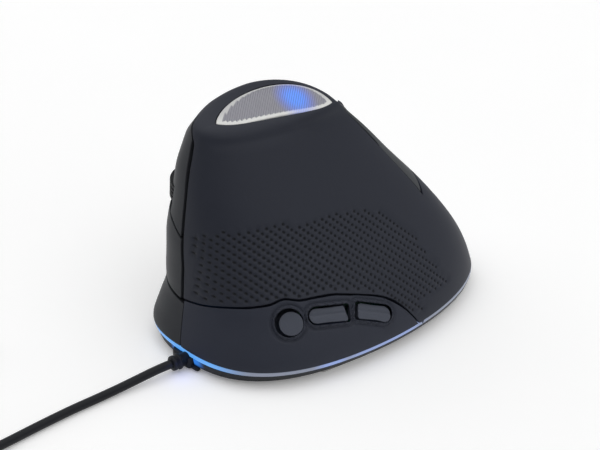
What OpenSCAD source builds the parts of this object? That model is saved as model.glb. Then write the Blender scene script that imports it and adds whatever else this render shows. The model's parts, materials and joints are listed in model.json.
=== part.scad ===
// Wired vertical mouse for the right hand. The nose points along +Y, the thumb side along -X,
// and the origin lies on the desk under the middle of the body.

/* [Body] */
// Width across the thumb and palm sides
body_w = 74.5; // [71:0.5:79]
// Length from the rear to the nose
body_l = 115; // [109:1:121]
// Height over the top lens
body_h = 73.5; // [71.5:0.5:77]
// Thickness of the outer shells
wall = 2; // [1.6:0.1:2.3]
// Gap between two fixed shells
seam_gap = 0.5; // [0.3:0.1:0.7]
// Gap round the main buttons
button_gap = 0.8; // [0.6:0.1:1]
// Gap at the nose, which the main buttons close as they turn
nose_gap = 1.5; // [1.3:0.1:1.8]

/* [Base] */
// Thickness of the glide feet
foot_h = 0.8; // [0.6:0.1:1]
// Height of the tray from its underside to its rim
tray_h = 3.8; // [3.4:0.1:4.4]
// Thickness of the tray floor
floor_t = 2; // [1.8:0.1:2.4]
// Height of the light ring
ring_h = 1.8; // [1.4:0.1:2.2]
// Depth of the light ring, inwards
ring_depth = 3.5; // [3:0.1:4]
// Diameter of a screw shank
screw_d = 2.5; // [2:0.1:2.8]
// Diameter of a screw head
screw_head_d = 4.6; // [4.2:0.1:5]
// Length of a base screw under its head
screw_l = 9; // [7:0.5:11]

/* [Main buttons] */
// Diameter of the hinge pin
pin_d = 2; // [1.6:0.1:2.4]
// Radius of the hinge lugs
lug_r = 2.4; // [2.2:0.1:2.8]
// Depth of the hinge pin under the palm side
pin_depth = 6.3; // [5.8:0.1:6.8]
// Lean of the hinge pin towards the nose, in degrees
pin_lean = 18; // [16:1:20]

/* [Wheel] */
// Diameter over the tyre
wheel_d = 22; // [20:0.5:23]
// Width of the tyre
wheel_w = 6; // [5:0.25:6.5]
// Thickness of the tyre
tyre_t = 1.6; // [1.2:0.1:2]
// Diameter of the wheel's axle
axle_d = 2.4; // [2:0.1:2.8]
// How far the tyre stands proud of the buttons
wheel_proud = 2.6; // [2.2:0.1:2.8]
// Travel of the wheel when it is clicked
wheel_travel = 0.5; // [0.3:0.1:0.7]

/* [Thumb buttons] */
// Diameter of the round button
dpi_d = 8; // [7:0.1:8.4]
// Diameter of the hole that the round button sits in
dpi_hole_d = 9.6; // [9.2:0.1:10]
// Length of the forward button
forward_l = 13.2; // [12:0.1:13.4]
// Length of the back button
back_l = 12.6; // [12:0.1:12.8]
// Height of the two long buttons
long_h = 6.2; // [5.6:0.1:6.6]
// Clearance round the two long buttons
thumb_clear = 0.4; // [0.3:0.05:0.5]
// Travel of the thumb buttons
thumb_travel = 0.5; // [0.3:0.05:0.6]

/* [Lens] */
// Length of the top lens
lens_l = 41; // [39:0.5:42]
// Width of the top lens
lens_w = 18.5; // [17.5:0.25:19]
// Thickness of the lens at its edge
lens_t = 1.6; // [1.2:0.1:2]
// Height of the lens's crown
lens_crown = 0.8; // [0.4:0.1:1]
// Slope of the lens towards the thumb, in degrees
lens_tilt = 6; // [4:1:8]
// Clearance round the lens
lens_clear = 0.2; // [0.1:0.05:0.3]

/* [Boards] */
// Thickness of every circuit board
board_t = 1.6; // [1.2:0.1:1.8]
// Width of the main board
main_board_w = 34; // [32:1:35]
// Length of the main board
main_board_l = 66; // [60:1:70]
// Height of the main board over the tray floor
board_lift = 4.2; // [3.8:0.1:4.6]
// Height of a main button's switch
switch_h = 6.5; // [6:0.1:6.8]
// Length of a main button's switch
switch_l = 12.8; // [12:0.1:13.4]
// Width of a main button's switch
switch_w = 5.8; // [5.4:0.1:6.2]

/* [Cable] */
// Diameter of the cable
cable_d = 3; // [2.8:0.1:3.2]
// Turns in each of the coil's two layers
coil_turns = 5; // [4:1:5]
// Radius at the middle of the coil's turns
coil_r = 18; // [17.5:0.5:19]
// Distance from one turn to the next
coil_pitch = 3.6; // [3.6:0.05:3.9]
// Thickness of the cable tie
tie_t = 0.9; // [0.7:0.1:1.1]

/* [Hidden] */
$fn = 48;

// Running clearance of a pin or screw in its bore, on the radius
fit = 0.05;
// Overlap that keeps a cut clear of a face
eps = 0.02;

// Heights of the base
floor_z = foot_h + floor_t;
rim_z = foot_h + tray_h;
ring_top = rim_z + ring_h;
// The shells stand a hair over the ring
deck_z = ring_top + 0.04;
shoulder_z = 0.89 * body_h;

// Rails of the body: share of the height, then shares of half the width and half the length
nose_rail = [[0, [-0.05, 0.977]], [0.09, [-0.01, 0.99]], [0.27, [0.2, 0.885]], [0.49, [0.35, 0.815]],
    [0.7, [0.465, 0.73]], [0.89, [0.595, 0.62]]];
thumb_rail = [[0, [-0.895, 0.135]], [0.09, [-1, 0.135]], [0.27, [-0.79, 0.125]], [0.49, [-0.385, 0.11]],
    [0.7, [-0.055, 0.09]], [0.89, [0.23, 0.065]]];
rear_rail = [[0, [-0.13, -1]], [0.09, [-0.13, -0.995]], [0.27, [-0.105, -0.915]], [0.49, [0.02, -0.74]],
    [0.7, [0.205, -0.525]], [0.89, [0.335, -0.325]]];
palm_rail = [[0, [0.975, 0.015]], [0.09, [1, 0.015]], [0.27, [0.98, 0.03]], [0.49, [0.985, 0.065]],
    [0.7, [0.997, 0.11]], [0.89, [0.99, 0.13]]];
// Fullness of the outline's four quarters, and the two slopes where they meet at the nose
full_thumb_front = 0.66;
full_thumb_rear = 0.55;
full_palm_rear = 0.6;
full_palm_front = 0.73;
nose_slope_thumb = 5;
nose_slope_palm = -10;

// Seams: place round the outline, from 0 at the nose to 4, then share of the height
skirt_seam = [[0, 0.253], [0.12, 0.273], [0.32, 0.306], [0.51, 0.325], [0.6, 0.334], [0.68, 0.348],
    [0.76, 0.336], [0.85, 0.333], [0.95, 0.321], [1.09, 0.27], [1.15, 0.231], [1.19, 0.18], [1.23, 0.097],
    [1.27, 0]];
palm_seam = [[1.7, 0.45], [1.9, 0.51], [2.15, 0.52], [2.5, 0.44], [2.9, 0.335], [3.3, 0.28], [3.7, 0.26],
    [4, 0.238]];
split_seam = [[2.7, 0.63], [3.1, 0.655], [3.4, 0.65], [3.6, 0.615], [3.79, 0.572],
    [3.9, 0.543], [4, 0.505]];
crest_at = palm_seam[0][0];
button_at = 2.8;
skirt_end = 1.228;
// The crest's seam leans to the rear as it climbs, and what is near it leans with it
crest_lean = 0.11;
crest_reach = 0.5;
function leaning(t, z) =
    let (near = max(0, 1 - abs(t - crest_at) / crest_reach), up = z / body_h - palm_seam[0][1])
    t + crest_lean * near * min(max(up / 0.42, 0), 1);
// Run of the outline in one quarter, which turns a gap into a share of the way round
quarter_run = 0.42 * body_l;

// Value on a smooth curve through knots of [key, value]
function knot(k, x, i = 0) = i >= len(k) - 2 || x < k[i + 1][0] ? i : knot(k, x, i + 1);
function slope(k, i) =
    let (a = max(i - 1, 0), b = min(i + 1, len(k) - 1)) (k[b][1] - k[a][1]) / (k[b][0] - k[a][0]);
function smooth(k, x) =
    let (i = knot(k, x), h = k[i + 1][0] - k[i][0], s = (x - k[i][0]) / h)
    (2 * s ^ 3 - 3 * s ^ 2 + 1) * k[i][1] + (s ^ 3 - 2 * s ^ 2 + s) * h * slope(k, i)
    + (3 * s ^ 2 - 2 * s ^ 3) * k[i + 1][1] + (s ^ 3 - s ^ 2) * h * slope(k, i + 1);
function bezier(a, b, c, d, s) =
    (1 - s) ^ 3 * a + 3 * (1 - s) ^ 2 * s * b + 3 * (1 - s) * s ^ 2 * c + s ^ 3 * d;
function unit(v) = v / norm(v);
function rail(r, z) = let (q = smooth(r, z / body_h)) [q.x * body_w / 2, q.y * body_l / 2];

// Point of the body's outline at place t and height z
function body(t, z) =
    let (n = rail(nose_rail, z), l = rail(thumb_rail, z), r = rail(rear_rail, z), p = rail(palm_rail, z),
        k = min(floor(t), 3), s = t - k,
        fa = full_thumb_front, fb = full_thumb_rear, fc = full_palm_rear, fd = full_palm_front,
        q = k == 0 ? bezier(n, n - [cos(nose_slope_thumb), sin(nose_slope_thumb)] * fa * (n.x - l.x),
                l + [0, fa * (n.y - l.y)], l, s)
            : k == 1 ? bezier(l, l - [0, fb * (l.y - r.y)], r - [fb * (r.x - l.x), 0], r, s)
            : k == 2 ? bezier(r, r + [fc * (p.x - r.x), 0], p - [0, fc * (p.y - r.y)], p, s)
            : bezier(p, p + [0, fd * (n.y - p.y)],
                n + [cos(nose_slope_palm), -sin(nose_slope_palm)] * fd * (p.x - n.x), n, s))
    [q.x, q.y, z];
function body_normal(t, z) =
    let (d = 0.001)
    unit(cross(body(min(t + d, 4), z) - body(max(t - d, 0), z), body(t, z + d) - body(t, z - d)));
// Way inwards along the desk that keeps the wall's thickness
function level_normal(t, z) = let (n = body_normal(t, z)) [n.x, n.y, 0] / (n.x ^ 2 + n.y ^ 2);
// Closed ring of points at height z, drawn in by inset
ring_n = 72;
function body_ring(z, inset) =
    [for (i = [0:ring_n - 1]) let (t = 4 * i / ring_n, m = level_normal(t, z))
        body(t, z) - inset * unit(m)];

// Place on the palm side at a given y, and its x
function palm_t(y, z, a = 2, b = 3.6, n = 20) =
    let (m = (a + b) / 2, low = body(m, z).y < y)
    n == 0 ? m : palm_t(y, z, low ? m : a, low ? b : m, n - 1);
function palm_x(y, z) = body(palm_t(y, z), z).x;
// Height of the body's surface above a point of the desk
function crossings(p, q) =
    len([for (i = [0:len(q) - 1]) let (a = q[i], b = q[(i + 1) % len(q)])
        if ((a.y > p.y) != (b.y > p.y) && p.x < (b.x - a.x) * (p.y - a.y) / (b.y - a.y) + a.x) 1]);
function is_under(p, z) = crossings(p, [for (t = [0:0.125:3.9]) body(t, z)]) % 2 == 1;
function roof_z(p, a, b, n = 12) =
    let (m = (a + b) / 2) n == 0 ? a : is_under(p, m) ? roof_z(p, m, b, n - 1) : roof_z(p, a, m, n - 1);

// Lens frame: near edge's middle, with the length along the thumb side and the width to the palm
lens_at = [0.387 * body_w / 2, 0.132 * body_l / 2, body_h - lens_crown - lens_w * sin(lens_tilt) - 0.35];
lens_turn = 13.2;
lens_tip = 2.6;
lens_skew = 4;
// Degrees that the far edge's points move on, so that they lie across from the body's
lens_shift = 20;
// Point of the lens's edge, grown by g, at the same place t as the body's outline
function lens_edge(t, g) =
    let (near = t <= 2, u = t < 1 ? -cos(90 * t) : 1 - (2 - t) ^ 3,
        s = 90 * t + lens_shift * sin(90 * t) ^ 2,
        a = near ? lens_l / 2 * u : -lens_l / 2 * cos(s) + lens_skew * sin(s) ^ 2,
        d = near ? lens_tip * abs(u) ^ 6 : lens_tip + (lens_w - lens_tip) * abs(sin(s)) ^ 1.4,
        c = [lens_skew / 2, lens_w * 0.45], out = unit([a, d] - c))
    [a, d] + g * out;
// From the lens frame to the body's
function from_lens(a, d, h) =
    let (y = d * cos(lens_tilt) - h * sin(lens_tilt), z = d * sin(lens_tilt) + h * cos(lens_tilt))
    lens_at + [-sin(lens_turn) * a + cos(lens_turn) * y, -cos(lens_turn) * a - sin(lens_turn) * y, z];
module in_lens_frame() {
    multmatrix([
        [-sin(lens_turn), cos(lens_turn) * cos(lens_tilt), -cos(lens_turn) * sin(lens_tilt), lens_at.x],
        [-cos(lens_turn), -sin(lens_turn) * cos(lens_tilt), sin(lens_turn) * sin(lens_tilt), lens_at.y],
        [0, sin(lens_tilt), cos(lens_tilt), lens_at.z], [0, 0, 0, 1]]) children();
}

// Reflector and holder under the lens, and the room that pieces below leave them
reflector_t = 1.8;
holder_floor = 1.6;
holder_h = 3.2;
reflector_z = -lens_t - reflector_t;
holder_z = reflector_z - holder_h;
holder_under = lens_at.z + holder_z - holder_floor;
holder_room = 0.9;
holder_clear = 0.2;

// Cap between the shoulder, w = 0, and the lens's hole, w = 1, fuller on the palm side
cap_full = [[0, 0.78], [0.4, 0.66], [2, 0.66], [2.4, 0.84], [3, 0.88], [3.6, 0.86], [4, 0.78]];
// Height by which the rim's far side is drawn up over the lens
rim_pull = [[0, 0], [2, 0], [2.5, 1.6], [3.5, 1.6], [4, 0]];
function wrap(t) = t < 0 ? t + 4 : t > 4 ? t - 4 : t;
function cap(t, w) =
    let (a = body(t, shoulder_z), up = a - body(t, shoulder_z - 1), e = lens_edge(t, lens_clear),
        c = from_lens(e.x, e.y, 0), rise = c.z - a.z, run = [c.x - a.x, c.y - a.y, 0],
        full = smooth(cap_full, t),
        lean = min(max(full * rise * (up * unit(run)), 0), (1 - full) * norm(run)))
    bezier(a, a + lean * unit(run) + [0, 0, full * rise], c - full * run + [0, 0, smooth(rim_pull, t)], c, w);
function cap_normal(t, w) =
    let (d = 0.002, w0 = max(w - d, 0), w1 = min(w + d, 1))
    let (n = unit(cross(cap(wrap(t + d), w) - cap(wrap(t - d), w), cap(t, w1) - cap(t, w0))))
    unit((1 - w ^ 2) * n + w ^ 2 * (from_lens(0, 0, 1) - lens_at));

// Closed skin, inwards from a grid of [point, normal], on the cells that keep(column, row) picks.
// Rows from loop_row up close on themselves.
module skin(grid, thick, keep, loop_row) {
    ni = len(grid[0]);
    nj = len(grid);
    m = ni * nj;
    function id(i, j) = j * ni + (j >= loop_row ? i % (ni - 1) : i);
    function column(i, j) = j >= loop_row ? (i + ni - 1) % (ni - 1) : i;
    function has(i, j) =
        let (c = column(i, j)) j >= 0 && j < nj - 1 && c >= 0 && c < ni - 1 && keep(c, j);
    function side(a, b) = [[a, b, b + m], [a, b + m, a + m]];
    polyhedron(
        points = concat([for (r = grid) for (g = r) g[0]],
            [for (r = grid) for (g = r) g[0] - thick * g[1]]),
        faces = [for (j = [0:nj - 2]) for (i = [0:ni - 2]) if (has(i, j))
            let (a = id(i, j), b = id(i + 1, j), c = id(i + 1, j + 1), d = id(i, j + 1))
            each concat([[a, d, c], [a, c, b], [a + m, c + m, d + m], [a + m, b + m, c + m]],
                has(i, j - 1) ? [] : side(a, b), has(i + 1, j) ? [] : side(b, c),
                has(i, j + 1) ? [] : side(c, d), has(i - 1, j) ? [] : side(d, a))],
        convexity = 10);
}
// Shell panel between places t0 and t1, from height lo(t) to hi(t).
// A panel on the deck has a level foot.
module panel(t0, t1, lo, hi, columns, rows, on_deck = false) {
    skin([for (j = [0:rows]) [for (i = [0:columns])
            let (t = t0 + (t1 - t0) * i / columns, z = lo(t) + (hi(t) - lo(t)) * j / rows,
                u = leaning(t, z))
            [body(u, z), on_deck && z < deck_z + wall ? level_normal(u, z) : body_normal(u, z)]]],
        wall, function (i, j) true, rows + 1);
}
// Solid lofted through closed rings of points. It ends in flat caps, or closes on itself.
module loft(rings, closed = false) {
    n = len(rings[0]);
    k = len(rings);
    function middle(r) = [for (c = [0:2]) min([for (p = r) p[c]]) + max([for (p = r) p[c]])] / 2;
    polyhedron(
        points = concat([for (r = rings) each r], [middle(rings[0]), middle(rings[k - 1])]),
        faces = concat(
            [for (j = [0:closed ? k - 1 : k - 2]) for (i = [0:n - 1])
                let (a = j * n + i, b = j * n + (i + 1) % n, u = (j + 1) % k, c = u * n + (i + 1) % n,
                    d = u * n + i)
                each [[a, d, c], [a, c, b]]],
            closed ? [] : [for (i = [0:n - 1]) [k * n, i, (i + 1) % n]],
            closed ? [] : [for (i = [0:n - 1]) [k * n + 1, (k - 1) * n + (i + 1) % n, (k - 1) * n + i]]),
        convexity = 10);
}
// Tube of a given diameter along points, with a flat end at each end
module tube(path, d, sides) {
    last = len(path) - 1;
    function way(i) = unit(path[min(i + 1, last)] - path[max(i - 1, 0)]);
    loft([for (i = [0:last])
        let (f = way(i), s = unit(cross(f, [0, 0, 1])), u = cross(s, f))
        [for (k = [0:sides - 1]) let (w = 360 * k / sides + 180 / sides)
            path[i] + d / 2 * (cos(w) * s - sin(w) * u)]]);
}
module rod(d, h) {
    cylinder(d = d, h = h);
}

// Frame of the three thumb buttons: x outwards, y to the rear, z up the slope
thumb_turn = 170;
thumb_rise = 37;
thumb_out = [cos(thumb_rise) * cos(thumb_turn), cos(thumb_rise) * sin(thumb_turn), sin(thumb_rise)];
thumb_back = [-sin(thumb_turn), cos(thumb_turn), 0];
thumb_up = cross(thumb_out, thumb_back);
thumb_at = body(0.85, 0.263 * body_h);
function to_thumb(p) = [(p - thumb_at) * thumb_out, (p - thumb_at) * thumb_back, (p - thumb_at) * thumb_up];
module in_thumb_frame() {
    translate(thumb_at) rotate([0, 0, thumb_turn]) rotate([0, -thumb_rise, 0]) children();
}
// Middles of the three buttons on the skirt, and the depth of the board's face behind the first
dpi_at = to_thumb(body(0.675, 0.269 * body_h));
forward_at = to_thumb(body(0.885, 0.265 * body_h));
back_at = to_thumb(body(1.058, 0.215 * body_h));
thumb_board_x = -10.4;
forward_slope = -4;
back_slope = -14;
// Turns of the round and back buttons that make them square to the skirt
dpi_yaw = -12;
back_yaw = 10;
// Place of the round cap in its wider hole
dpi_shift = [0.45, -0.3];

// Outlines of the two long buttons, grown by g: one round end, and one straight end that grows by e
module long_outline(l, way, g, e, slope) {
    r = long_h / 2 + g;
    rotate(slope) {
        translate([way * (l - long_h) / 2, 0]) rotate(way > 0 ? 180 : 0) circle(r = r);
        translate([way > 0 ? -l / 2 - e : long_h / 2 - l / 2, -r]) square([l - long_h / 2 + e, 2 * r]);
    }
}
module at_button(at, yaw) {
    translate(at) rotate([0, 0, yaw]) children();
}
// Stands a flat outline, drawn with its length to the rear, so that it runs outwards from x = from
module outwards(from, h) {
    translate([from, 0, 0]) rotate([90, 0, 90]) linear_extrude(height = h) children();
}

// Wheel frame: x outwards at the tyre, z along the axle
wheel_turn = 30;
wheel_lean = 4;
wheel_place = 3.48;
wheel_height = 0.637;
wheel_out = [cos(wheel_lean) * cos(wheel_turn), cos(wheel_lean) * sin(wheel_turn), sin(wheel_lean)];
wheel_at = body(wheel_place, wheel_height * body_h) - (wheel_d / 2 - wheel_proud) * wheel_out;
module in_wheel_frame() {
    translate(wheel_at) rotate([0, 0, wheel_turn]) rotate([0, -wheel_lean, 0]) children();
}
// Room that the wheel needs in the buttons
wheel_room = 0.7;
arm_t = 2;
arm_gap = 0.9;
arm_w = 6;
carriage_back = -wheel_d / 2 - 2;
guide_d = 2.4;
guide_z = 3.6;
guide_l = 7;
guide_gap = 1.2;
guide_block_size = [9, 13];
guide_end = 0.3;
// Face of the guide block, behind the carriage
guide_x = carriage_back - arm_t - guide_gap;
encoder_h = 4;
encoder_w = 8;

// Hinge of the main buttons, on a line that leans towards the nose
hinge_y = -8;
hinge_z = 0.57 * body_h;
hinge_at = [palm_x(hinge_y, hinge_z) - pin_depth, hinge_y, hinge_z];
function along_pin(h) = hinge_at + h * [0, sin(pin_lean), cos(pin_lean)];
module at_pin(h = 0) {
    translate(along_pin(h)) rotate([-pin_lean, 0, 0]) children();
}
lug_h = 4;
lug_w = 3;
lug_gap = 0.4;
// Heights along the pin: lugs of the right button, lugs of the left button, and the frame's ears between
right_lugs = [-13, -3];
// The highest ear ends below the lens holder
ear_h = 3;
ear_top = (holder_under - holder_room - hinge_z) / cos(pin_lean);
left_lugs = [0.095 * body_h, ear_top - ear_h - lug_gap - lug_h];
ears = [[right_lugs[0] - lug_gap - 4, right_lugs[0] - lug_gap],
    [right_lugs[0] + lug_h + lug_gap, right_lugs[1] - lug_gap],
    [right_lugs[1] + lug_h + lug_gap, left_lugs[0] - lug_gap], [ear_top - ear_h, ear_top]];

// Upright plate that carries the main buttons' board, and what stands on it, outwards along x
plate_behind_wheel = 7.8;
plate_x = wheel_at.x - plate_behind_wheel;
plate_t = 2.4;
plate_rear = -20;
plate_front = 13;
plate_top = 0.81 * body_h;
// Foot of the wheel guide's bracket on the plate, from the hinge's height, behind the carriage's travel
bracket_at = [-2, -8];
bracket_size = [9, 14];
button_board_x = plate_x + plate_t;
switch_x = button_board_x + board_t;
plunger_proud = 0.8;
plunger_sunk = 1.4;
plunger_w = 2.6;
plunger_t = 1.4;
// Board above and below a switch
board_margin = 4.7;
// Places of the two switches as [y, z]
right_switch_at = [17, 0.415 * body_h];
left_switch_at = [13, holder_under - holder_clear - board_margin];

// Boards and screws in the tray
main_board_at = [-2.5, -3];
main_board_z = floor_z + board_lift;
board_hole_in = 4;
board_post_d = 5;
board_corners = [for (x = [-1, 1]) for (y = [-1, 1])
    main_board_at + [x * (main_board_w / 2 - board_hole_in), y * (main_board_l / 2 - board_hole_in)]];
sensor_at = [main_board_at.x, 6];
sensor_hole_d = 9;
// Posts of the main shell that the base screws hold: rear, thumb side and nose, then one by the palm
shell_posts = [[-4, -43], [-24, -17], [-7, 37.5]];
palm_post = [26, -21];
post_d = 6.4;
palm_post_h = 9;
web_t = 2;
// Depth from a shell's face at which what stands on its inside ends, within the wall
bite = 0.6 * wall;
head_sink = 1.2;
screw_points = concat(shell_posts, [palm_post]);

// Cable: where it leaves the nose, and its free run to the coil, which rests on its tie
tie_clear = 0.1;
coil_z = tie_t + tie_clear + cable_d / 2;
exit_x = -4;
exit_z = 3.4;
exit_y = body(0, rim_z).y;
// Steps of the grommet along y: flange, neck, block, groove, ring, groove and collar
relief_y = [for (d = [-5.6, -3.8, 1.7, 2.4, 3.6, 4.2, 5.8]) exit_y + d];
// Widths of the grommet's flange and neck, which sit in the tray's rim, and of its block outside
relief_flange = [9, 6];
relief_block = [13, 4.4, 1.2];
relief_clear = 0.05;
notch_z = 1.4;
cable_route = [[exit_x, relief_y[6], exit_z], [exit_x, relief_y[6] + 1.5, exit_z], [-4, 69, 3.2],
    [-4, 76, 2.5], [-4.1, 83, 1.9], [-4.4, 91, 1.6], [-4.9, 99, 1.6], [-5.7, 107, 1.6], [-6.7, 115, 1.6],
    [-7.9, 123, 1.7], [-9.2, 131, 2], [-10.4, 138, 2.3], [-11.3, 145, coil_z], [-11.8, 151, coil_z],
    [-12, 156.5, coil_z], [-12, 158, coil_z]];

// Plug's grip and metal shell
grip_size = [15.5, 20, 7.8];
shell_size = [12, 18, 4.5];
shell_t = 0.4;
// Width of the cable tie, and its slack along the coil's radius
tie_w = 4;
tie_room = 0.4;

// Coil: a spiral inwards on the desk and out again above it, which leaves the plug beside it
coil_half = coil_turns * coil_pitch / 2;
coil_start = cable_route[len(cable_route) - 1];
coil_at = [coil_start.x + coil_r + coil_half, coil_start.y + cable_d];
coil_steps = 24;
coil_total = 2 * coil_turns + 0.5;
plug_z = grip_size.z / 2;
tail = [5.5, -14];
// Radius and height after n turns
function coil_radius(n) = coil_r + coil_half - coil_pitch * min(n, coil_total - n);
function coil_rise(n) =
    let (s = min(max((n - coil_turns) / 0.5, 0), 1)) coil_z + coil_pitch * (3 * s ^ 2 - 2 * s ^ 3);
function coil_point(n) =
    let (r = coil_radius(n)) [coil_at.x - r * cos(360 * n), coil_at.y + r * sin(360 * n), coil_rise(n)];
coil_end = coil_point(coil_total);
plug_at = [coil_end.x + tail.x, coil_end.y + tail.y, plug_z];
coil_path = concat([coil_start], [for (k = [0:coil_total * coil_steps]) coil_point(k / coil_steps)],
    [for (q = [[0.1, 0.25, 0.15], [0.45, 0.5, 0.55], [0.85, 0.7, 0.9], [1, 0.85, 1], [1, 1, 1]])
        coil_end + [q[0] * tail.x, q[1] * tail.y, q[2] * (plug_z - coil_end.z)]]);
// Least gap between turns, measured on points half a turn or more apart
coil_gap_steps = 48;
coil_samples = [for (k = [0:coil_total * coil_gap_steps]) coil_point(k / coil_gap_steps)];
coil_last = len(coil_samples) - 1;
coil_gap = min([for (i = [0:coil_last]) for (j = [i + coil_gap_steps / 2:1:coil_last])
    norm(coil_samples[i] - coil_samples[j])]) - cable_d;
echo(coil_least_gap = coil_gap);  // cable_coil

// Base
tray_bevel = 1.4;
module base_tray() {
    color("#1b1d22") difference() {
        union() {
            loft([body_ring(foot_h, tray_bevel), body_ring(foot_h + 1, 0), body_ring(rim_z, 0),
                body_ring(rim_z, wall), body_ring(floor_z, wall)]);
            for (p = board_corners) translate([p.x, p.y, floor_z - eps])
                rod(board_post_d, board_lift + eps);
        }
        for (p = board_corners) translate([p.x, p.y, floor_z]) rod(screw_d + 2 * fit, board_lift + 1);
        for (p = screw_points) translate([p.x, p.y, 0]) {
            rod(screw_d + 0.6, floor_z + 1);
            rod(screw_head_d + 0.4, foot_h + head_sink);
        }
        translate([sensor_at.x, sensor_at.y, 0]) rod(sensor_hole_d, floor_z + 1);
        translate([exit_x - relief_flange.y / 2 - relief_clear, relief_y[0], notch_z])
            cube([relief_flange.y + 2 * relief_clear, relief_y[3] - relief_y[0], tray_h]);
    }
}

// Feet: shares of the width and the length, turn, length and width
feet = [[0.03, 0.41, 0, 22, 5], [-0.04, -0.44, 0, 24, 5], [-0.41, 0.09, 90, 24, 4], [0.44, 0.07, 90, 24, 5]];
module foot(l, w) {
    hull() for (x = [-1, 1]) translate([x * (l - w) / 2, 0]) circle(d = w);
}
module glide_feet() {
    color("#d8d8d4") for (f = feet) translate([f[0] * body_w, f[1] * body_l, 0]) rotate([0, 0, f[2]])
        linear_extrude(height = foot_h) foot(f[3], f[4]);
}
small_head_h = 1.1;
module screw(l, head_h) {
    rod(screw_d, l + head_h);
    difference() {
        rod(screw_head_d, head_h);
        translate([0, 0, -eps]) linear_extrude(height = head_h * 0.6) for (a = [0, 90])
            rotate(a) square([screw_head_d * 0.6, 0.7], center = true);
    }
}
module base_screws() {
    color("#9a9ca0") for (p = screw_points)
        translate([p.x, p.y, foot_h + head_sink - small_head_h]) screw(screw_l - small_head_h, small_head_h);
}
module light_ring() {
    color("#8fb4f0") loft([body_ring(rim_z, 0), body_ring(ring_top, 0), body_ring(ring_top, ring_depth),
        body_ring(rim_z, ring_depth)], closed = true);
}

// Shells
function seam_z(s, t) = smooth(s, t) * body_h;
function shell_foot(t) = t > 1.26 ? deck_z : max(deck_z, seam_z(skirt_seam, t) + seam_gap / 2);
function shell_middle(t) = t < crest_at ? (0.5 - 0.05 * t / crest_at) * body_h : seam_z(palm_seam, t);
// Columns lie closer where the skirt's seam drops to the deck
shell_stops = [[0, 22], [1.04, 9], [1.274, 6], [crest_at, 32], [4, 0]];
shell_columns = shell_stops[0][1] + shell_stops[1][1] + shell_stops[2][1];
shell_rows = [5, 7, 5];
shell_places = concat([for (k = [0:len(shell_stops) - 2]) for (i = [0:shell_stops[k][1] - 1])
    shell_stops[k][0] + (shell_stops[k + 1][0] - shell_stops[k][0]) * i / shell_stops[k][1]], [4]);
function shell_point(t, j) =
    let (a = shell_rows[0], b = a + shell_rows[1], lo = shell_foot(t), mid = shell_middle(t))
    j >= b ? let (w = (j - b) / shell_rows[2], u = leaning(t, shoulder_z)) [cap(u, w), cap_normal(u, w)]
        : let (z = j <= a ? lo + (mid - lo) * j / a : mid + (shoulder_z - mid) * (j - a) / shell_rows[1],
            u = leaning(t, z))
        [body(u, z), j == 0 && lo == deck_z ? level_normal(u, z) : body_normal(u, z)];
// Top of a post that ends inside the sloping shell over it
function post_top(p) =
    min([for (a = [0:45:315]) roof_z(p + post_d / 2 * [cos(a), sin(a)], deck_z, shoulder_z)]) - 0.55 * wall;
module main_shell() {
    a = shell_rows[0];
    b = a + shell_rows[1];
    color("#2c3038") difference() {
        union() {
            skin([for (j = [0:b + shell_rows[2]]) [for (t = shell_places) shell_point(t, j)]], wall,
                function (i, j) j >= b || j < a || i < shell_columns, b);
            for (p = shell_posts) translate([p.x, p.y, floor_z]) rod(post_d, post_top(p) - floor_z);
            translate([palm_post.x, palm_post.y, floor_z]) rod(post_d, deck_z + palm_post_h - floor_z);
            translate([palm_post.x, palm_post.y - web_t / 2, deck_z + 1])
                cube([palm_x(palm_post.y, deck_z + palm_post_h) - bite - palm_post.x, web_t,
                    palm_post_h - 2]);
        }
        for (p = screw_points) translate([p.x, p.y, floor_z - 1]) rod(screw_d + 2 * fit, screw_l + 1);
    }
}
module thumb_skirt() {
    color("#2a2d34") difference() {
        union() {
            panel(seam_gap / quarter_run / 2, skirt_end, function (t) deck_z,
                function (t) seam_z(skirt_seam, t) - seam_gap / 2, 26, 5, on_deck = true);
            in_thumb_frame() for (p = thumb_posts) translate([thumb_board_x, p.y, p.z]) rotate([0, 90, 0])
                rod(thumb_post_d, p.x - bite - thumb_board_x);
        }
        in_thumb_frame() {
            at_button(dpi_at, dpi_yaw) outwards(-6, 12) circle(d = dpi_hole_d);
            at_button(forward_at, 0) outwards(-6, 12)
                long_outline(forward_l, -1, thumb_clear, thumb_clear, forward_slope);
            at_button(back_at, back_yaw) outwards(-6, 12)
                long_outline(back_l, 1, thumb_clear, thumb_clear, back_slope);
            for (p = thumb_posts) translate([thumb_board_x - 1, p.y, p.z]) rotate([0, 90, 0])
                rod(screw_d + 2 * fit, 1 + thumb_screw_l);
        }
    }
}
// Posts of the skirt that its board is screwed to, below the buttons
thumb_post_d = 4.6;
thumb_screw_l = 5;
thumb_post_z = 0.105 * body_h + 5;
thumb_posts = [for (t = [0.76, 0.95]) to_thumb(body(t, thumb_post_z))];

module palm_cover() {
    color("#262930")
        panel(crest_at + 2.5 * seam_gap / quarter_run, button_at - button_gap / quarter_run / 2,
            function (t) seam_z(palm_seam, t) + seam_gap, function (t) shoulder_z - seam_gap, 14, 8);
}

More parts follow.
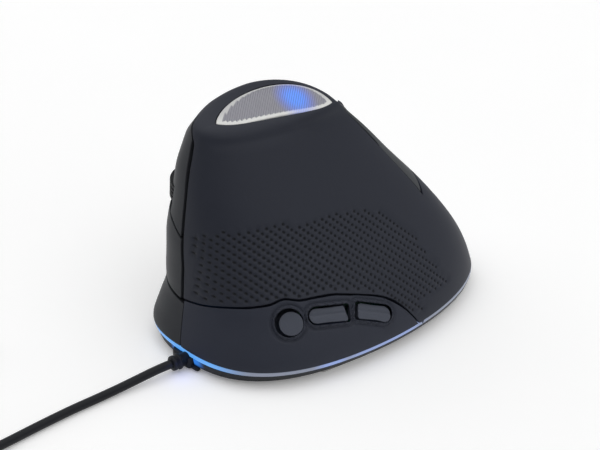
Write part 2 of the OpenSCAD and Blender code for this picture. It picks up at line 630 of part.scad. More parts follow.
// Main buttons
// Cylinder from the plunger's top into a button's wall
actuator_d = 4;
module actuator(at) {
    top = switch_x + switch_h + plunger_proud;
    translate([top, at[0], at[1]]) rotate([0, 90, 0]) rod(actuator_d, palm_x(at[0], at[1]) - bite - top);
}
module lug(h) {
    q = along_pin(h);
    reach = min(palm_x(q.y, q.z), palm_x(q.y + lug_w, q.z + lug_h)) - bite - q.x;
    at_pin(h) {
        rod(2 * lug_r, lug_h);
        translate([0, -0.2 * lug_w, 0]) cube([reach, lug_w, lug_h]);
    }
}
module main_button(lo, hi, rows, lugs, switch_at) {
    difference() {
        union() {
            panel(button_at + button_gap / quarter_run / 2, 4 - nose_gap / quarter_run, lo, hi, 18, rows);
            for (h = lugs) lug(h);
            actuator(switch_at);
        }
        for (h = lugs) at_pin(h - 1) rod(pin_d + 2 * fit, lug_h + 2);
        in_wheel_frame() translate([0, 0, -wheel_w / 2 - wheel_room])
            rod(wheel_d + 2 * wheel_room, wheel_w + 2 * wheel_room);
    }
}
module left_button() {
    color("#2b2e35") main_button(function (t) seam_z(split_seam, t) + button_gap / 2,
        function (t) shoulder_z - button_gap, 6, left_lugs, left_switch_at);
}
module right_button() {
    color("#2f3238") main_button(function (t) seam_z(palm_seam, t) + button_gap,
        function (t) seam_z(split_seam, t) - button_gap / 2, 8, right_lugs, right_switch_at);
}
module hinge_pin() {
    color("#b9bcc0") at_pin(ears[0][0]) rod(pin_d, ears[3][1] - ears[0][0]);
}

// Upright frame, its board and its switches
module guide_block() {
    in_wheel_frame() translate([guide_x - guide_l, -guide_block_size.x / 2, -guide_block_size.y / 2])
        cube([guide_l, guide_block_size.x, guide_block_size.y]);
}
module switch_frame() {
    color("#3a3d42") difference() {
        union() {
            translate([plate_x, 0, 0]) rotate([90, 0, 90]) linear_extrude(height = plate_t)
                polygon([[plate_rear, floor_z], [plate_front, floor_z], [plate_front, plate_top],
                    [-4, plate_top], [plate_rear, 0.5 * plate_top]]);
            for (y = [plate_rear + 7, plate_front - 5]) translate([plate_x, y - 4, floor_z]) cube([9, 8, 2]);
            hull() {
                guide_block();
                translate([plate_x, bracket_at.x, hinge_z + bracket_at.y])
                    cube([plate_t, bracket_size.x, bracket_size.y]);
            }
            for (e = ears) at_pin(e[0]) {
                rod(2 * lug_r, e[1] - e[0]);
                translate([button_board_x - hinge_at.x - eps, -lug_r, 0])
                    cube([hinge_at.x - button_board_x, 2 * lug_r, e[1] - e[0]]);
            }
        }
        at_pin(ears[0][0] - 1) rod(pin_d + 2 * fit, ears[3][1] - ears[0][0] + 2);
        in_wheel_frame() for (z = [-guide_z, guide_z])
            translate([carriage_back - 30, 0, z]) rotate([0, 90, 0]) rod(guide_d + 2 * fit, 30);
        in_wheel_frame() translate([guide_x - wheel_switch_sunk, -wheel_switch_size.x / 2 - pocket_clear,
            -wheel_switch_size.y / 2 - pocket_clear])
            cube([wheel_switch_sunk + 1, wheel_switch_size.x + 2 * pocket_clear,
                wheel_switch_size.y + 2 * pocket_clear]);
    }
}
// Click switch behind the wheel, in a pocket of the guide block
wheel_switch_sunk = 2.4;
wheel_switch_size = [6, 3.8];
pocket_clear = 0.2;
module button_board() {
    low = right_switch_at[1] - 8;
    color("#1f5a3c") translate([button_board_x, 0, 0]) rotate([90, 0, 90]) linear_extrude(height = board_t)
        difference() {
            translate([2, low]) square([22, left_switch_at[1] + board_margin - low]);
            translate([6, right_switch_at[1] + board_margin])
                square([30, left_switch_at[1] - right_switch_at[1] - 2 * board_margin]);
        }
}
module snap_switch(at) {
    translate([switch_x, at[0], at[1]]) difference() {
        translate([0, -switch_l / 2, -switch_w / 2]) cube([switch_h, switch_l, switch_w]);
        translate([switch_h - plunger_sunk - 0.8, -plunger_w / 2 - 0.3, -plunger_t / 2 - 0.3])
            cube([plunger_sunk + 2, plunger_w + 0.6, plunger_t + 0.6]);
    }
}
module plunger(at) {
    translate([switch_x + switch_h - plunger_sunk, at[0] - plunger_w / 2, at[1] - plunger_t / 2])
        cube([plunger_sunk + plunger_proud, plunger_w, plunger_t]);
}
module left_switch() {
    color("#16181b") snap_switch(left_switch_at);
}
module right_switch() {
    color("#16181b") snap_switch(right_switch_at);
}
module left_plunger() {
    color("#c7493a") plunger(left_switch_at);
}
module right_plunger() {
    color("#c7493a") plunger(right_switch_at);
}

// Wheel
arm_z = wheel_w / 2 + arm_gap;
hub_in = 0.5;
axle_end = arm_z + arm_t + encoder_h - 0.6;
module wheel_hub() {
    color("#34373d") in_wheel_frame() {
        translate([0, 0, -wheel_w / 2 + hub_in]) rod(wheel_d - 2 * tyre_t, wheel_w - 2 * hub_in);
        translate([0, 0, -axle_end]) rod(axle_d, axle_end + arm_z + arm_t);
    }
}
module wheel_tyre() {
    color("#17181b") in_wheel_frame() rotate_extrude() difference() {
        translate([wheel_d / 2 - tyre_t, -wheel_w / 2]) square([tyre_t, wheel_w]);
        for (z = [-1, 0, 1]) translate([wheel_d / 2 - 0.4, z * wheel_w / 4 - 0.3]) square([1, 0.6]);
    }
}
module wheel_carriage() {
    color("#4a4d52") in_wheel_frame() difference() {
        union() {
            for (z = [-arm_z - arm_t, arm_z]) translate([0, 0, z]) {
                rod(arm_w, arm_t);
                translate([carriage_back, -arm_w / 2, 0]) cube([-carriage_back, arm_w, arm_t]);
            }
            translate([carriage_back - arm_t, -arm_w / 2, -arm_z - arm_t])
                cube([arm_t, arm_w, 2 * (arm_z + arm_t)]);
            for (z = [-guide_z, guide_z]) translate([guide_x - guide_l + wheel_travel + guide_end, 0, z])
                rotate([0, 90, 0]) rod(guide_d, guide_gap + guide_l - wheel_travel);
        }
        translate([0, 0, -arm_z - arm_t - 1]) rod(axle_d + 2 * fit, 2 * (arm_z + arm_t) + 2);
    }
}
module wheel_encoder() {
    color("#24476b") in_wheel_frame() difference() {
        translate([-encoder_w / 2, -encoder_w / 2, -arm_z - arm_t - encoder_h])
            cube([encoder_w, encoder_w, encoder_h]);
        translate([0, 0, -arm_z - arm_t - encoder_h - 1]) rod(axle_d + 2 * fit, encoder_h + 2);
    }
}
module wheel_switch() {
    color("#16181b") in_wheel_frame() translate([guide_x - wheel_switch_sunk, 0, 0]) {
        translate([0, -wheel_switch_size.x / 2, -wheel_switch_size.y / 2])
            cube([wheel_switch_sunk, wheel_switch_size.x, wheel_switch_size.y]);
        rotate([0, 90, 0]) rod(2.4, wheel_switch_sunk + guide_gap - wheel_travel - pocket_clear);
    }
}

// Thumb buttons, each with a flange behind the skirt and a stem over its switch
thumb_switch_h = 2.6;
thumb_switch_w = 6;
thumb_knob_h = 0.8;
flange_t = 1;
flange_grow = 1;
flange_end = 0.2;
flange_top = -wall - 0.9;
stem_d = 3;
// Gap between a stem and its switch once the button is pressed
stem_gap = 0.15;
knob_x = thumb_board_x + thumb_switch_h + thumb_knob_h;
function stem_end(at, yaw) =
    (knob_x + thumb_travel + stem_gap + stem_d / 2 * sin(abs(yaw)) - at.x) / cos(yaw);
module thumb_button(at, yaw, proud) {
    end = stem_end(at, yaw);
    at_button(at, yaw) {
        outwards(flange_top - flange_t, proud - flange_top + flange_t) children(0);
        outwards(flange_top - flange_t, flange_t) children(1);
        outwards(end, flange_top - end) circle(d = stem_d);
    }
}
module dpi_button() {
    color("#32353b") in_thumb_frame() thumb_button(dpi_at, dpi_yaw, -0.3) {
        translate(dpi_shift) circle(d = dpi_d);
        circle(d = dpi_hole_d + flange_grow);
    }
}
module forward_button() {
    color("#2e3137") in_thumb_frame() thumb_button(forward_at, 0, 0.3) {
        long_outline(forward_l, -1, 0, 0, forward_slope);
        long_outline(forward_l, -1, thumb_clear + flange_grow, flange_end, forward_slope);
    }
}
module back_button() {
    color("#2e3137") in_thumb_frame() thumb_button(back_at, back_yaw, 0.3) {
        long_outline(back_l, 1, 0, 0, back_slope);
        long_outline(back_l, 1, thumb_clear + flange_grow, flange_end, back_slope);
    }
}
// Places of the switches under the ends of the stems
thumb_spots = [for (b = [[dpi_at, dpi_yaw], [forward_at, 0], [back_at, back_yaw]])
    b[0] + [0, stem_end(b[0], b[1]) * sin(b[1]), 0]];
tray_room = 0.6;
module thumb_board() {
    lowest = (floor_z + tray_room - thumb_at.z - (thumb_board_x - board_t) * thumb_out.z) / thumb_up.z;
    low = max(min([for (p = thumb_posts) p.z]) - 0.6 * thumb_post_d, lowest);
    front = thumb_spots[0].y - 4.5;
    color("#1f5a3c") in_thumb_frame() difference() {
        translate([thumb_board_x - board_t, front, low])
            cube([board_t, thumb_spots[2].y + 4.5 - front, dpi_at.z + 4 - low]);
        for (p = thumb_posts) translate([thumb_board_x - board_t - 1, p.y, p.z]) rotate([0, 90, 0])
            rod(screw_d + 2 * fit, board_t + 2);
    }
}
module thumb_board_screws() {
    color("#9a9ca0") in_thumb_frame() for (p = thumb_posts)
        translate([thumb_board_x - board_t - small_head_h, p.y, p.z]) rotate([0, 90, 0])
            screw(board_t + thumb_screw_l - 0.5, small_head_h);
}
module thumb_switches() {
    w = thumb_switch_w;
    color("#16181b") in_thumb_frame() for (p = thumb_spots) translate([thumb_board_x, p.y, p.z]) {
        translate([0, -w / 2, -w / 2]) cube([thumb_switch_h, w, w]);
        rotate([0, 90, 0]) rod(stem_d, thumb_switch_h + thumb_knob_h);
    }
}

// Top lens and what lies under it
lens_points = 64;
lens_inset = 0.3;
holder_wall = 1.2;
module lens_outline(g) {
    polygon([for (i = [0:lens_points - 1]) lens_edge(4 * i / lens_points, g)]);
}
module top_lens() {
    color("#dfe5ee") in_lens_frame() {
        translate([0, 0, -lens_t]) linear_extrude(height = lens_t) lens_outline(0);
        translate([lens_skew / 2, lens_w * 0.45, 0]) linear_extrude(height = lens_crown, scale = 0.7)
            translate([-lens_skew / 2, -lens_w * 0.45]) lens_outline(0);
    }
}
module lens_reflector() {
    color("#b9bec6") in_lens_frame() translate([0, 0, reflector_z]) linear_extrude(height = reflector_t)
        lens_outline(-lens_inset);
}
module lens_holder() {
    leg = from_lens(0, 4, holder_z - 0.6 * holder_floor).z;
    color("#3a3d42") {
        in_lens_frame() difference() {
            translate([0, 0, holder_z - holder_floor]) linear_extrude(height = holder_floor + holder_h)
                lens_outline(-lens_inset);
            translate([0, 0, holder_z]) linear_extrude(height = holder_h + 1)
                lens_outline(-lens_inset - holder_wall);
        }
        translate([plate_x, 1.5, plate_top]) cube([plate_t, 10, leg - plate_top]);
    }
}
lens_board_size = [20, 7, board_t];
lens_board_at = [1, 8];
lens_led_size = [5, 5, 1.4];
// Block of a given size that stands on its middle
module block(size) {
    translate([-size.x / 2, -size.y / 2, 0]) cube(size);
}
module lens_board() {
    color("#e8e8e4") in_lens_frame() translate([lens_board_at.x, lens_board_at.y, holder_z])
        block(lens_board_size);
}
module lens_led() {
    color("#5a86ff") in_lens_frame() translate([lens_board_at.x, lens_board_at.y, holder_z + board_t])
        block(lens_led_size);
}

// Main board and what stands on it
module main_board() {
    color("#1f5a3c") translate([main_board_at.x, main_board_at.y, main_board_z])
        linear_extrude(height = board_t) difference() {
            square([main_board_w, main_board_l], center = true);
            for (p = board_corners) translate(p - main_board_at) circle(d = screw_d + 2 * fit);
            translate(sensor_at - main_board_at) circle(d = sensor_hole_d - 1);
        }
}
module board_screws() {
    color("#9a9ca0") for (p = board_corners) translate([p.x, p.y, main_board_z + board_t + small_head_h])
        mirror([0, 0, 1]) screw(board_t + board_lift - 0.6, small_head_h);
}
// Puts a piece on the main board's face
module on_board(at) {
    translate([at.x, at.y, main_board_z + board_t]) children();
}
sensor_chip_size = [10, 13, 3];
module sensor_chip() {
    color("#101114") on_board(sensor_at) block(sensor_chip_size);
}
sensor_lens_size = [12, 19, 1.4];
module sensor_lens() {
    color("#cfd8dc") translate([sensor_at.x, sensor_at.y, floor_z]) {
        block(sensor_lens_size);
        rod(sensor_hole_d - 2, board_lift);
    }
}
sensor_led_size = [3.2, 2.8, 1.6];
module sensor_led() {
    color("#d23b2f") on_board(sensor_at + [0, sensor_chip_size.y / 2 + 2.9]) {
        block(sensor_led_size);
        rod(2.4, sensor_led_size.z + 0.8);
    }
}
ring_led_size = [3.2, 1.6, 1.4];
ring_led_pitch = 6;
module ring_leds() {
    color("#e9eefc") for (k = [-1, 0, 1])
        on_board(main_board_at + [k * ring_led_pitch, (main_board_l - ring_led_size.y) / 2])
            block(ring_led_size);
}
socket_at = main_board_at + [7, main_board_l / 2 - 12];
socket_size = [9, 4, 5];
module cable_socket() {
    color("#e4e0d2") on_board(socket_at) block(socket_size);
}
lead_plug_size = [7.8, 3, 3.8];
module lead_plug() {
    color("#f0eee6") on_board(socket_at + [0, (socket_size.y + lead_plug_size.y) / 2])
        translate([0, 0, (socket_size.z - lead_plug_size.z) / 2]) block(lead_plug_size);
}

// Cable
module along_y(y) {
    translate([exit_x, y, exit_z]) rotate([-90, 0, 0]) children();
}
lead_d = 2.4;
module inner_lead() {
    start = [socket_at.x, socket_at.y + socket_size.y / 2 + lead_plug_size.y,
        main_board_z + board_t + socket_size.z / 2];
    finish = [exit_x, relief_y[0], floor_z + lead_d / 2 + relief_clear];
    color("#1a1b1e") tube([start, start + [0, lead_d, 0], start + [-0.6, 6, 0.2], start + [-1.6, 9, -0.2],
        finish + [0.6, -8, 6], finish + [0.2, -5, 3.6], finish + [0, -3, 1], finish - [0, 1.4, 0], finish],
        lead_d, 8);
}
module strain_relief() {
    color("#141519") {
        top = rim_z - relief_clear;
        translate([exit_x - relief_flange.x / 2, relief_y[0], floor_z + relief_clear])
            cube([relief_flange.x, relief_y[1] - relief_y[0], top - floor_z - relief_clear]);
        translate([exit_x - relief_flange.y / 2, relief_y[0] + relief_clear, notch_z + relief_clear])
            cube([relief_flange.y, relief_y[2] - relief_y[0] - relief_clear, top - notch_z - relief_clear]);
        translate([exit_x - relief_block.x / 2, relief_y[2] - relief_block.z, foot_h])
            cube([relief_block.x, relief_block.z, relief_block.y - foot_h]);
        along_y(relief_y[2] - eps) rod(4.6, relief_y[3] - relief_y[2] + 2 * eps);
        along_y(relief_y[3]) rod(5.6, relief_y[4] - relief_y[3]);
        along_y(relief_y[4] - eps) rod(4.4, relief_y[5] - relief_y[4] + 2 * eps);
        along_y(relief_y[5]) rod(5.2, relief_y[6] - relief_y[5]);
    }
}
module cable() {
    color("#15161a") tube(cable_route, cable_d, 8);
}
module cable_coil() {
    color("#15161a") tube(coil_path, cable_d, 6);
}
module cable_tie() {
    room = cable_d / 2 + tie_clear;
    near = coil_radius(coil_total / 2) - room - tie_room;
    far = coil_radius(0.25) + room + tie_room;
    high = coil_z + coil_pitch + room;
    color("#0f1012") translate([coil_at.x - tie_w / 2, coil_at.y, 0]) rotate([90, 0, 90])
        linear_extrude(height = tie_w) difference() {
            translate([near - tie_t, 0]) square([far - near + 2 * tie_t, high + tie_t]);
            translate([near, tie_t]) square([far - near, high - tie_t]);
        }
}
module plug_grip() {
    color("#17181c") translate([plug_at.x, plug_at.y - grip_size.y / 2, 0]) block(grip_size);
}
// Underside and middle of the metal shell
shell_at = plug_at - [0, grip_size.y + shell_size.y / 2, shell_size.z / 2];
module plug_shell() {
    color("#c3c6ca") translate(shell_at) difference() {
        block(shell_size);
        translate([0, 0, shell_t])
            block([shell_size.x - 2 * shell_t, shell_size.y + 2, shell_size.z - 2 * shell_t]);
    }
}
tongue_h = 1.8;
tongue_in = 0.6;
module plug_tongue() {
    color("#e9e9e6") translate(shell_at + [0, tongue_in / 2, shell_t])
        block([shell_size.x - 2 * shell_t, shell_size.y - tongue_in, tongue_h]);
}
contact_size = [1, 14, 0.2];
contact_xs = [-3.5, -1, 1, 3.5];
module plug_contacts() {
    color("#c9a548") for (x = contact_xs) translate(shell_at + [x, 0, shell_t + tongue_h])
        block(contact_size);
}

base_tray();
glide_feet();
base_screws();
light_ring();
main_shell();
thumb_skirt();
palm_cover();
left_button();
right_button();
hinge_pin();
switch_frame();
button_board();
left_switch();
right_switch();
left_plunger();
right_plunger();
wheel_hub();
wheel_tyre();
wheel_carriage();
wheel_encoder();
wheel_switch();
dpi_button();
forward_button();
back_button();
thumb_board();
thumb_board_screws();
thumb_switches();
top_lens();
lens_reflector();
lens_holder();
lens_board();
lens_led();
main_board();
board_screws();
sensor_chip();
sensor_lens();
sensor_led();
ring_leds();
cable_socket();
lead_plug();
inner_lead();
strain_relief();
cable();
cable_coil();
cable_tie();
plug_grip();
plug_shell();
plug_tongue();
plug_contacts();
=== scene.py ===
"""Wired vertical mouse: shells, lens, light ring, buttons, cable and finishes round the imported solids."""

import json
import math

import bpy
import numpy as np
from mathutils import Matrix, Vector, geometry


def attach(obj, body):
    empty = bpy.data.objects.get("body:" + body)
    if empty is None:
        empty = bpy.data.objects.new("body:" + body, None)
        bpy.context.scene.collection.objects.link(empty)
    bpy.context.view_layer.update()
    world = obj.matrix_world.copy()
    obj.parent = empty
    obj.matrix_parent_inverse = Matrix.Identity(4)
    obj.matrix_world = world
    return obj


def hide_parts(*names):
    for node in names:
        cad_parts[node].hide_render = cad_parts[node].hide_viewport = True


bl_info = {
    "name": "Wired Vertical Mouse",
    "version": (1, 0, 0),
    "blender": (4, 5, 0),
    "location": "View3D > Sidebar > Mouse",
    "description": "Builds the shells, lens, light ring, buttons and cable of an upright mouse",
    "category": "Object",
}

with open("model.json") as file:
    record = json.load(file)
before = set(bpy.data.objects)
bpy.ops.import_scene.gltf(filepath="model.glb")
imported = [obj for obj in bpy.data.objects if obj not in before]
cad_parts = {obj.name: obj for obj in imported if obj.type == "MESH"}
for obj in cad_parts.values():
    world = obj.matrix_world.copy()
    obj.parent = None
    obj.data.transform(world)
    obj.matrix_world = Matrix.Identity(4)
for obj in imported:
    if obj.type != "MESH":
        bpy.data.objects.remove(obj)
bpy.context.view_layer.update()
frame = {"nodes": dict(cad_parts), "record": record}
MM = 0.001

# Body in millimetres, as the solids have it
BODY_W, BODY_L, BODY_H = 74.5, 115.0, 73.5
SHOULDER = 0.89 * BODY_H
DECK, RIM, RING_TOP = 6.44, 4.6, 6.4
SEAM_GAP, BUTTON_GAP, CREST_GAP = 0.5, 0.8, 1.6
# Gap at the nose, by height
NOSE_GAP = [(18, .95), (30, 1.05), (50, 1.6), (66, 3)]
QUARTER_RUN = 0.42 * BODY_L
NOSE_RAIL = [[0, -.05, .977], [.09, -.01, .99], [.27, .2, .885], [.49, .35, .815], [.7, .465, .73],
             [.89, .595, .62]]
THUMB_RAIL = [[0, -.895, .135], [.09, -1, .135], [.27, -.79, .125], [.49, -.385, .11],
              [.7, -.055, .09], [.89, .23, .065]]
REAR_RAIL = [[0, -.13, -1], [.09, -.13, -.995], [.27, -.105, -.915], [.49, .02, -.74],
             [.7, .205, -.525], [.89, .335, -.325]]
PALM_RAIL = [[0, .975, .015], [.09, 1, .015], [.27, .98, .03], [.49, .985, .065], [.7, .997, .11],
             [.89, .99, .13]]
FULL_THUMB_FRONT, FULL_THUMB_REAR, FULL_PALM_REAR, FULL_PALM_FRONT = .66, .55, .6, .73
NOSE_SLOPE_THUMB, NOSE_SLOPE_PALM = math.radians(5), math.radians(-10)
SKIRT_SEAM = [[0, .253], [.12, .273], [.32, .306], [.51, .325], [.6, .334], [.68, .348], [.76, .336],
              [.85, .333], [.95, .321], [1.09, .27], [1.15, .231], [1.19, .18], [1.23, .097], [1.27, 0]]
PALM_SEAM = [[1.7, .475], [1.9, .545], [2.15, .54], [2.5, .44], [2.9, .335], [3.3, .28], [3.7, .26],
             [4, .238]]
SPLIT_SEAM = [[2.7, .63], [3.1, .655], [3.4, .65], [3.6, .615], [3.79, .572], [3.9, .543], [4, .505]]
CREST, BUTTONS_AT, SKIRT_END, SHELL_HEEL = 1.7, 2.8, 1.228, 1.253
CREST_LEAN, CREST_REACH, CREST_RISE, CREST_FOOT = .11, .5, .42, .45
# Heights between which the crest's gap opens, and what two seams gain: at the hook and at the skirt's rear
CREST_SHUT, CREST_OPEN, HOOK_GAP, SKIRT_REAR_GAP = 52.5, 54.0, .4, .7
HOOK_WIDE, SKIRT_REAR, SKIRT_REAR_RUN = .1, 1.08, .08
# How far the nose's gap lies on the thumb side, and the heights between which it moves there
NOSE_MOVE, NOSE_FROM, NOSE_FULL = .018, 19.0, 28.0
# Seam between the cap and the panels under it, as shares of the way from shoulder to lens
CAP_SEAM = [[1.5, .5], [2, .55], [2.8, .56], [3.5, .6], [3.7, .55], [3.8, .46], [3.9, .3], [3.96, .12],
            [4, 0]]

# Lens
LENS_L, LENS_W, LENS_CROWN = 41.0, 18.5, .8
LENS_TILT, LENS_TURN, LENS_SHIFT = math.radians(6), math.radians(13.2), math.radians(20)
LENS_TIP, LENS_SKEW, LENS_CLEAR, LENS_SLANT = 2.6, 4.0, .2, -.49
LENS_ROUND, LENS_LIP = .5, 1.5
# Powers that bow the lens's near and far edges
LENS_NEAR_BOW, LENS_FAR_BOW = 6, 1.4
LENS_GLOW_AT, LENS_GLOW_FROM, LENS_GLOW_TO = (9.0, 8.0), 1.5, 8.0
LENS_AT = np.array([.387 * BODY_W / 2, .132 * BODY_L / 2,
                    BODY_H - LENS_CROWN - LENS_W * math.sin(LENS_TILT) - .35])
LENS_MIDDLE = np.array([LENS_SKEW / 2, LENS_W * .45])
CAP_FULL = [[0, .78], [.4, .66], [2, .66], [2.4, .84], [3, .88], [3.6, .86], [4, .78]]
RIM_PULL = [[0, 0], [2, 0], [2.5, 1.6], [3.5, 1.6], [4, 0]]
# Length that stands for the cap's way from shoulder to lens in the flat pattern of the main shell
CAP_RUN = 16.0
# Width of the cap's seam along it, as shares of the usual one
CAP_GAP_AT, CAP_GAP = (1.5, 2.1, 2.7, 3.5, 3.7), (.3, .4, 1, 1, 2)
# Swells and hollows that the rails don't give: place, height, their half widths, and how far they go out
SWELLS = [(1.93, 60, .3, 9, .85), (1.96, 74, .2, 4, -.7), (2.35, 76, .3, 5, -.65), (3.0, 76, .25, 5, .75),
          (3.55, 71.5, .22, 4.5, -1.15), (3.68, 57, .3, 5, .5), (3.7, 37, .3, 6, .5), (3.68, 18, .35, 4, -.8),
          (3.72, 7, .25, 3, .9)]
# Way over which swells fade at the lens, and how far those above the shoulder go up as they go out
SWELL_FADE, SWELL_RISE = 3.0, .8
# Soft crease on the cap below the lens, its two ends, and how it fades at them and at the shoulder
CREASE_AT, CREASE_WIDE, CREASE_DEEP, CREASE_DROP = .2, .13, .35, 8
CREASE_ENDS, CREASE_FADES, CREASE_FOOT = (.1, 1.75), (.3, .35), .06

# Thumb buttons: frame on the skirt, middles in it as out, rear and up, and turns square to the skirt
THUMB_AT = np.array([-28.976, 19.166, 19.331])
THUMB_OUT = np.array([-.786502, .138682, .601815])
THUMB_BACK = np.array([-.173648, -.984808, 0])
THUMB_UP = np.array([.592672, -.104504, .798636])
DPI_AT, DPI_YAW = (-.898, -11.673, .93), -12
FORWARD_AT, FORWARD_SLOPE = (-.088, 2.04, .250), -8
BACK_AT, BACK_YAW, BACK_SLOPE = (-1.877, 18.1, -2.75), 10, -18.5
DPI_D, DPI_HOLE_D, DPI_SHIFT = 7.9, 9.2, (.6, -.4)
FORWARD_L, BACK_L, LONG_H, THUMB_CLEAR, THUMB_COLLAR = 13.9, 13.3, 5.3, .3, 2.6
# Edge, lip, depth of the flange and step of points of their caps, and step and corners of the long outlines
CAP_EDGE, CAP_LIP, CAP_FLANGE, CAP_STEP, LONG_STEP, LONG_CORNER = .22, 2.4, 4.0, .4, .35, .7
# Soft hollow round their beads: depth, way from the bead and half width
HOLLOW_DEEP, HOLLOW_AWAY, HOLLOW_WIDE = .55, .3, .55
# Fold across the long ones: where it runs, how its halves fall, and its groove
FOLD_AT, FOLD_DROP, FOLD_RISE, GROOVE_DEEP, GROOVE_WIDE = .2, .2, .1, .3, .5

# Wheel: middle, way out at the tyre, and way along the axle
WHEEL_AT = np.array([25.335, 31.0524, 46.2335])
WHEEL_TURN, WHEEL_LEAN = math.radians(30), math.radians(4)
WHEEL_D, WHEEL_W, WHEEL_ROOM, WHEEL_PROUD = 22.0, 6.0, .7, 2.6
SLOT_LIP, SLOT_DEEP = .5, (2.3, 3.8)

# Cable: free run from the grommet, then a coil that winds in on the desk and out above it
CABLE_ROUTE = [(-4, 62.867, 3.4), (-4, 64.367, 3.4), (-4, 69, 3.2), (-4, 76, 2.5), (-4.1, 83, 1.9),
               (-4.4, 91, 1.6), (-4.9, 99, 1.6), (-5.7, 107, 1.6), (-6.7, 115, 1.6), (-7.9, 123, 1.7),
               (-9.2, 131, 2), (-10.4, 138, 2.3), (-11.3, 145, 2.5), (-11.8, 151, 2.5),
               (-12, 156.5, 2.5)]
COIL_AT, COIL_OUTER, COIL_PITCH, COIL_WOUND, COIL_TOTAL = (15, 161), 27.0, 3.6, 5.0, 10.5
COIL_Z, PLUG_Z = 2.5, 3.9
# Points on each turn, share of a turn in which the coil climbs, and step between the knots of the free runs
COIL_POINTS, COIL_CLIMB, CABLE_STEP = 48, .5, .25
TAIL = (5.5, -14)
TAIL_STEPS = [(.1, .25, .15), (.45, .5, .55), (.85, .7, .9), (1, .85, 1), (1, 1, 1)]

# Camera in millimetres and pixels of a 600 by 450 picture
EYE, TARGET = (-430.78, 295.54, 363.22), (-.3, -1.2, 30)
FOCAL_PX, PICTURE_W, TARGET_OFF = 1827.0, 600.0, (24.9, 6.5)
SENSOR = 36.0
# Floor in metres: half its width and its height, and the white that it shows beside the light on it
FLOOR_HALF, FLOOR_Z, FLOOR_LIFT = 4.0, -2e-5, .19
# Suns: name, way to them, strength and angle
SUNS = [("side", (-.57, -.82, .6), 1.1, 110), ("top", (0, 0, 1), 1.08, 90), ("palm", (.98, .18, .6), 1.1, 90)]
SKY = .12
# Small light by the cable
GLOW_AT, GLOW_POWER, GLOW_COLOUR, GLOW_R = (-8.6, 61.8, 5), .00028, (.1, .2, 1), .003

# Dotted grip on the thumb side: its upper edge as place and height, and its rear edge as height and place
DOT_TOP = [(.08, 40.2), (.18, 42), (.26, 42), (.31, 42.8), (.37, 44.1), (.5, 43.7), (.64, 43.9),
           (.75, 44.2), (.82, 44), (.87, 42.5), (1, 42.5), (1.08, 42.3), (1.19, 41.5), (1.25, 39.6),
           (1.33, 37), (1.39, 33.4), (1.43, 27.6)]
DOT_REAR = [(13.0, 1.44), (20.8, 1.42), (27.6, 1.42), (33.4, 1.39), (37.9, 1.33), (41.2, 1.22)]
DOT_FIRST, DOT_MARGIN = .1, .95
# Way in which the dots are moulded, as turn and rise, and two steps of their pattern across it
DOT_TURN, DOT_RISE = math.radians(2.05), math.radians(11.75)
DOT_STEP_A, DOT_STEP_B, DOT_START = (1.83, 1.181), (1.094, -1.151), (-.768, -.237)
# Rings of a pit's points: shares of its radius and depth, slope and number of points
PIT_RINGS = ((1.0, 0, .25, 10), (.8, .45, 1.0, 10), (.45, .9, .45, 6))
# Share of the shell's colour painted into the pits as shade
PIT_SHADE_TONE = .32

# Flat patterns: their scale in millimetres, and the steps by which their normals are found
FLAT_SCALE, FLAT_STEPS = np.array([QUARTER_RUN, 1.0]), (.002, .05)
PLAIN_SCALE, PLAIN_STEPS = np.ones(2), (.03, .03)
# Steps of points along edges
FINE, STEP = .8, 1.2
# Depths of the main shell's tongue behind fixed neighbours and behind buttons, and its reach
TONGUE_FIXED, TONGUE_MOVING, TONGUE_REACH = 1.8, 3.4, 2.6
# What becomes of an outline's edges, where it isn't the depth of a tongue behind the neighbour
TURNED, OPEN = 0, -1


def linear(code):
    """Linear colour of a hex code."""
    parts = [int(code[i:i + 2], 16) / 255 for i in (1, 3, 5)]
    return [c / 12.92 if c <= .04045 else ((c + .055) / 1.055) ** 2.4 for c in parts]


def colour_prop(name, description, code):
    return bpy.props.FloatVectorProperty(name=name, description=description, subtype="COLOR", size=3,
                                         min=0, max=1, default=linear(code))


def length_prop(name, description, value):
    return bpy.props.FloatProperty(name=name, description=description, default=value * MM, min=0,
                                   subtype="DISTANCE", unit="LENGTH", precision=5)


class MouseColours(bpy.types.PropertyGroup):
    """Colours of the mouse."""
    shell: colour_prop("Shell", "Soft plastic of the main shell and the thumb skirt", "#2b2e38")
    cover: colour_prop("Cover", "Plastic of the palm cover", "#33363b")
    buttons: colour_prop("Main buttons", "Plastic of the two buttons at the nose", "#35373b")
    thumb_buttons: colour_prop("Thumb buttons", "Plastic of the three thumb buttons", "#4a4e59")
    tray: colour_prop("Tray", "Plastic of the base tray", "#1e2026")
    lens: colour_prop("Lens", "Ribbed lens on top", "#94949d")
    glow: colour_prop("Light", "Light behind the lens", "#3d8cff")
    ring: colour_prop("Ring", "Light ring along the sides", "#9aa2b6")
    cord: colour_prop("Cord", "Rubber of the cable and its grommet", "#1b1d22")


class MouseSizes(bpy.types.PropertyGroup):
    """Fine sizes of the mouse's outside."""
    edge: length_prop("Edge", "Rounding along the seams of the shells", .2)
    lip: length_prop("Lip", "Depth to which the shells turn in along their seams", 1.6)
    dot_d: length_prop("Dot", "Diameter of the grip's dots", 1.2)
    dot_depth: length_prop("Dot depth", "Depth of the grip's dots", .38)
    bead: length_prop("Bead", "Height of the bead round the thumb buttons", .65)
    bead_w: length_prop("Bead width", "Width of the bead round the thumb buttons", .9)
    rib: length_prop("Ribs", "Spacing of the lens's ribs", .85)
    rib_depth: length_prop("Rib depth", "Depth of the lens's ribs", .12)
    cord_d: length_prop("Cord", "Diameter of the cable", 3.0)


def colours():
    return bpy.context.scene.mouse_colours


def size(name):
    """One of the fine sizes, in millimetres."""
    return getattr(bpy.context.scene.mouse_sizes, name) / MM


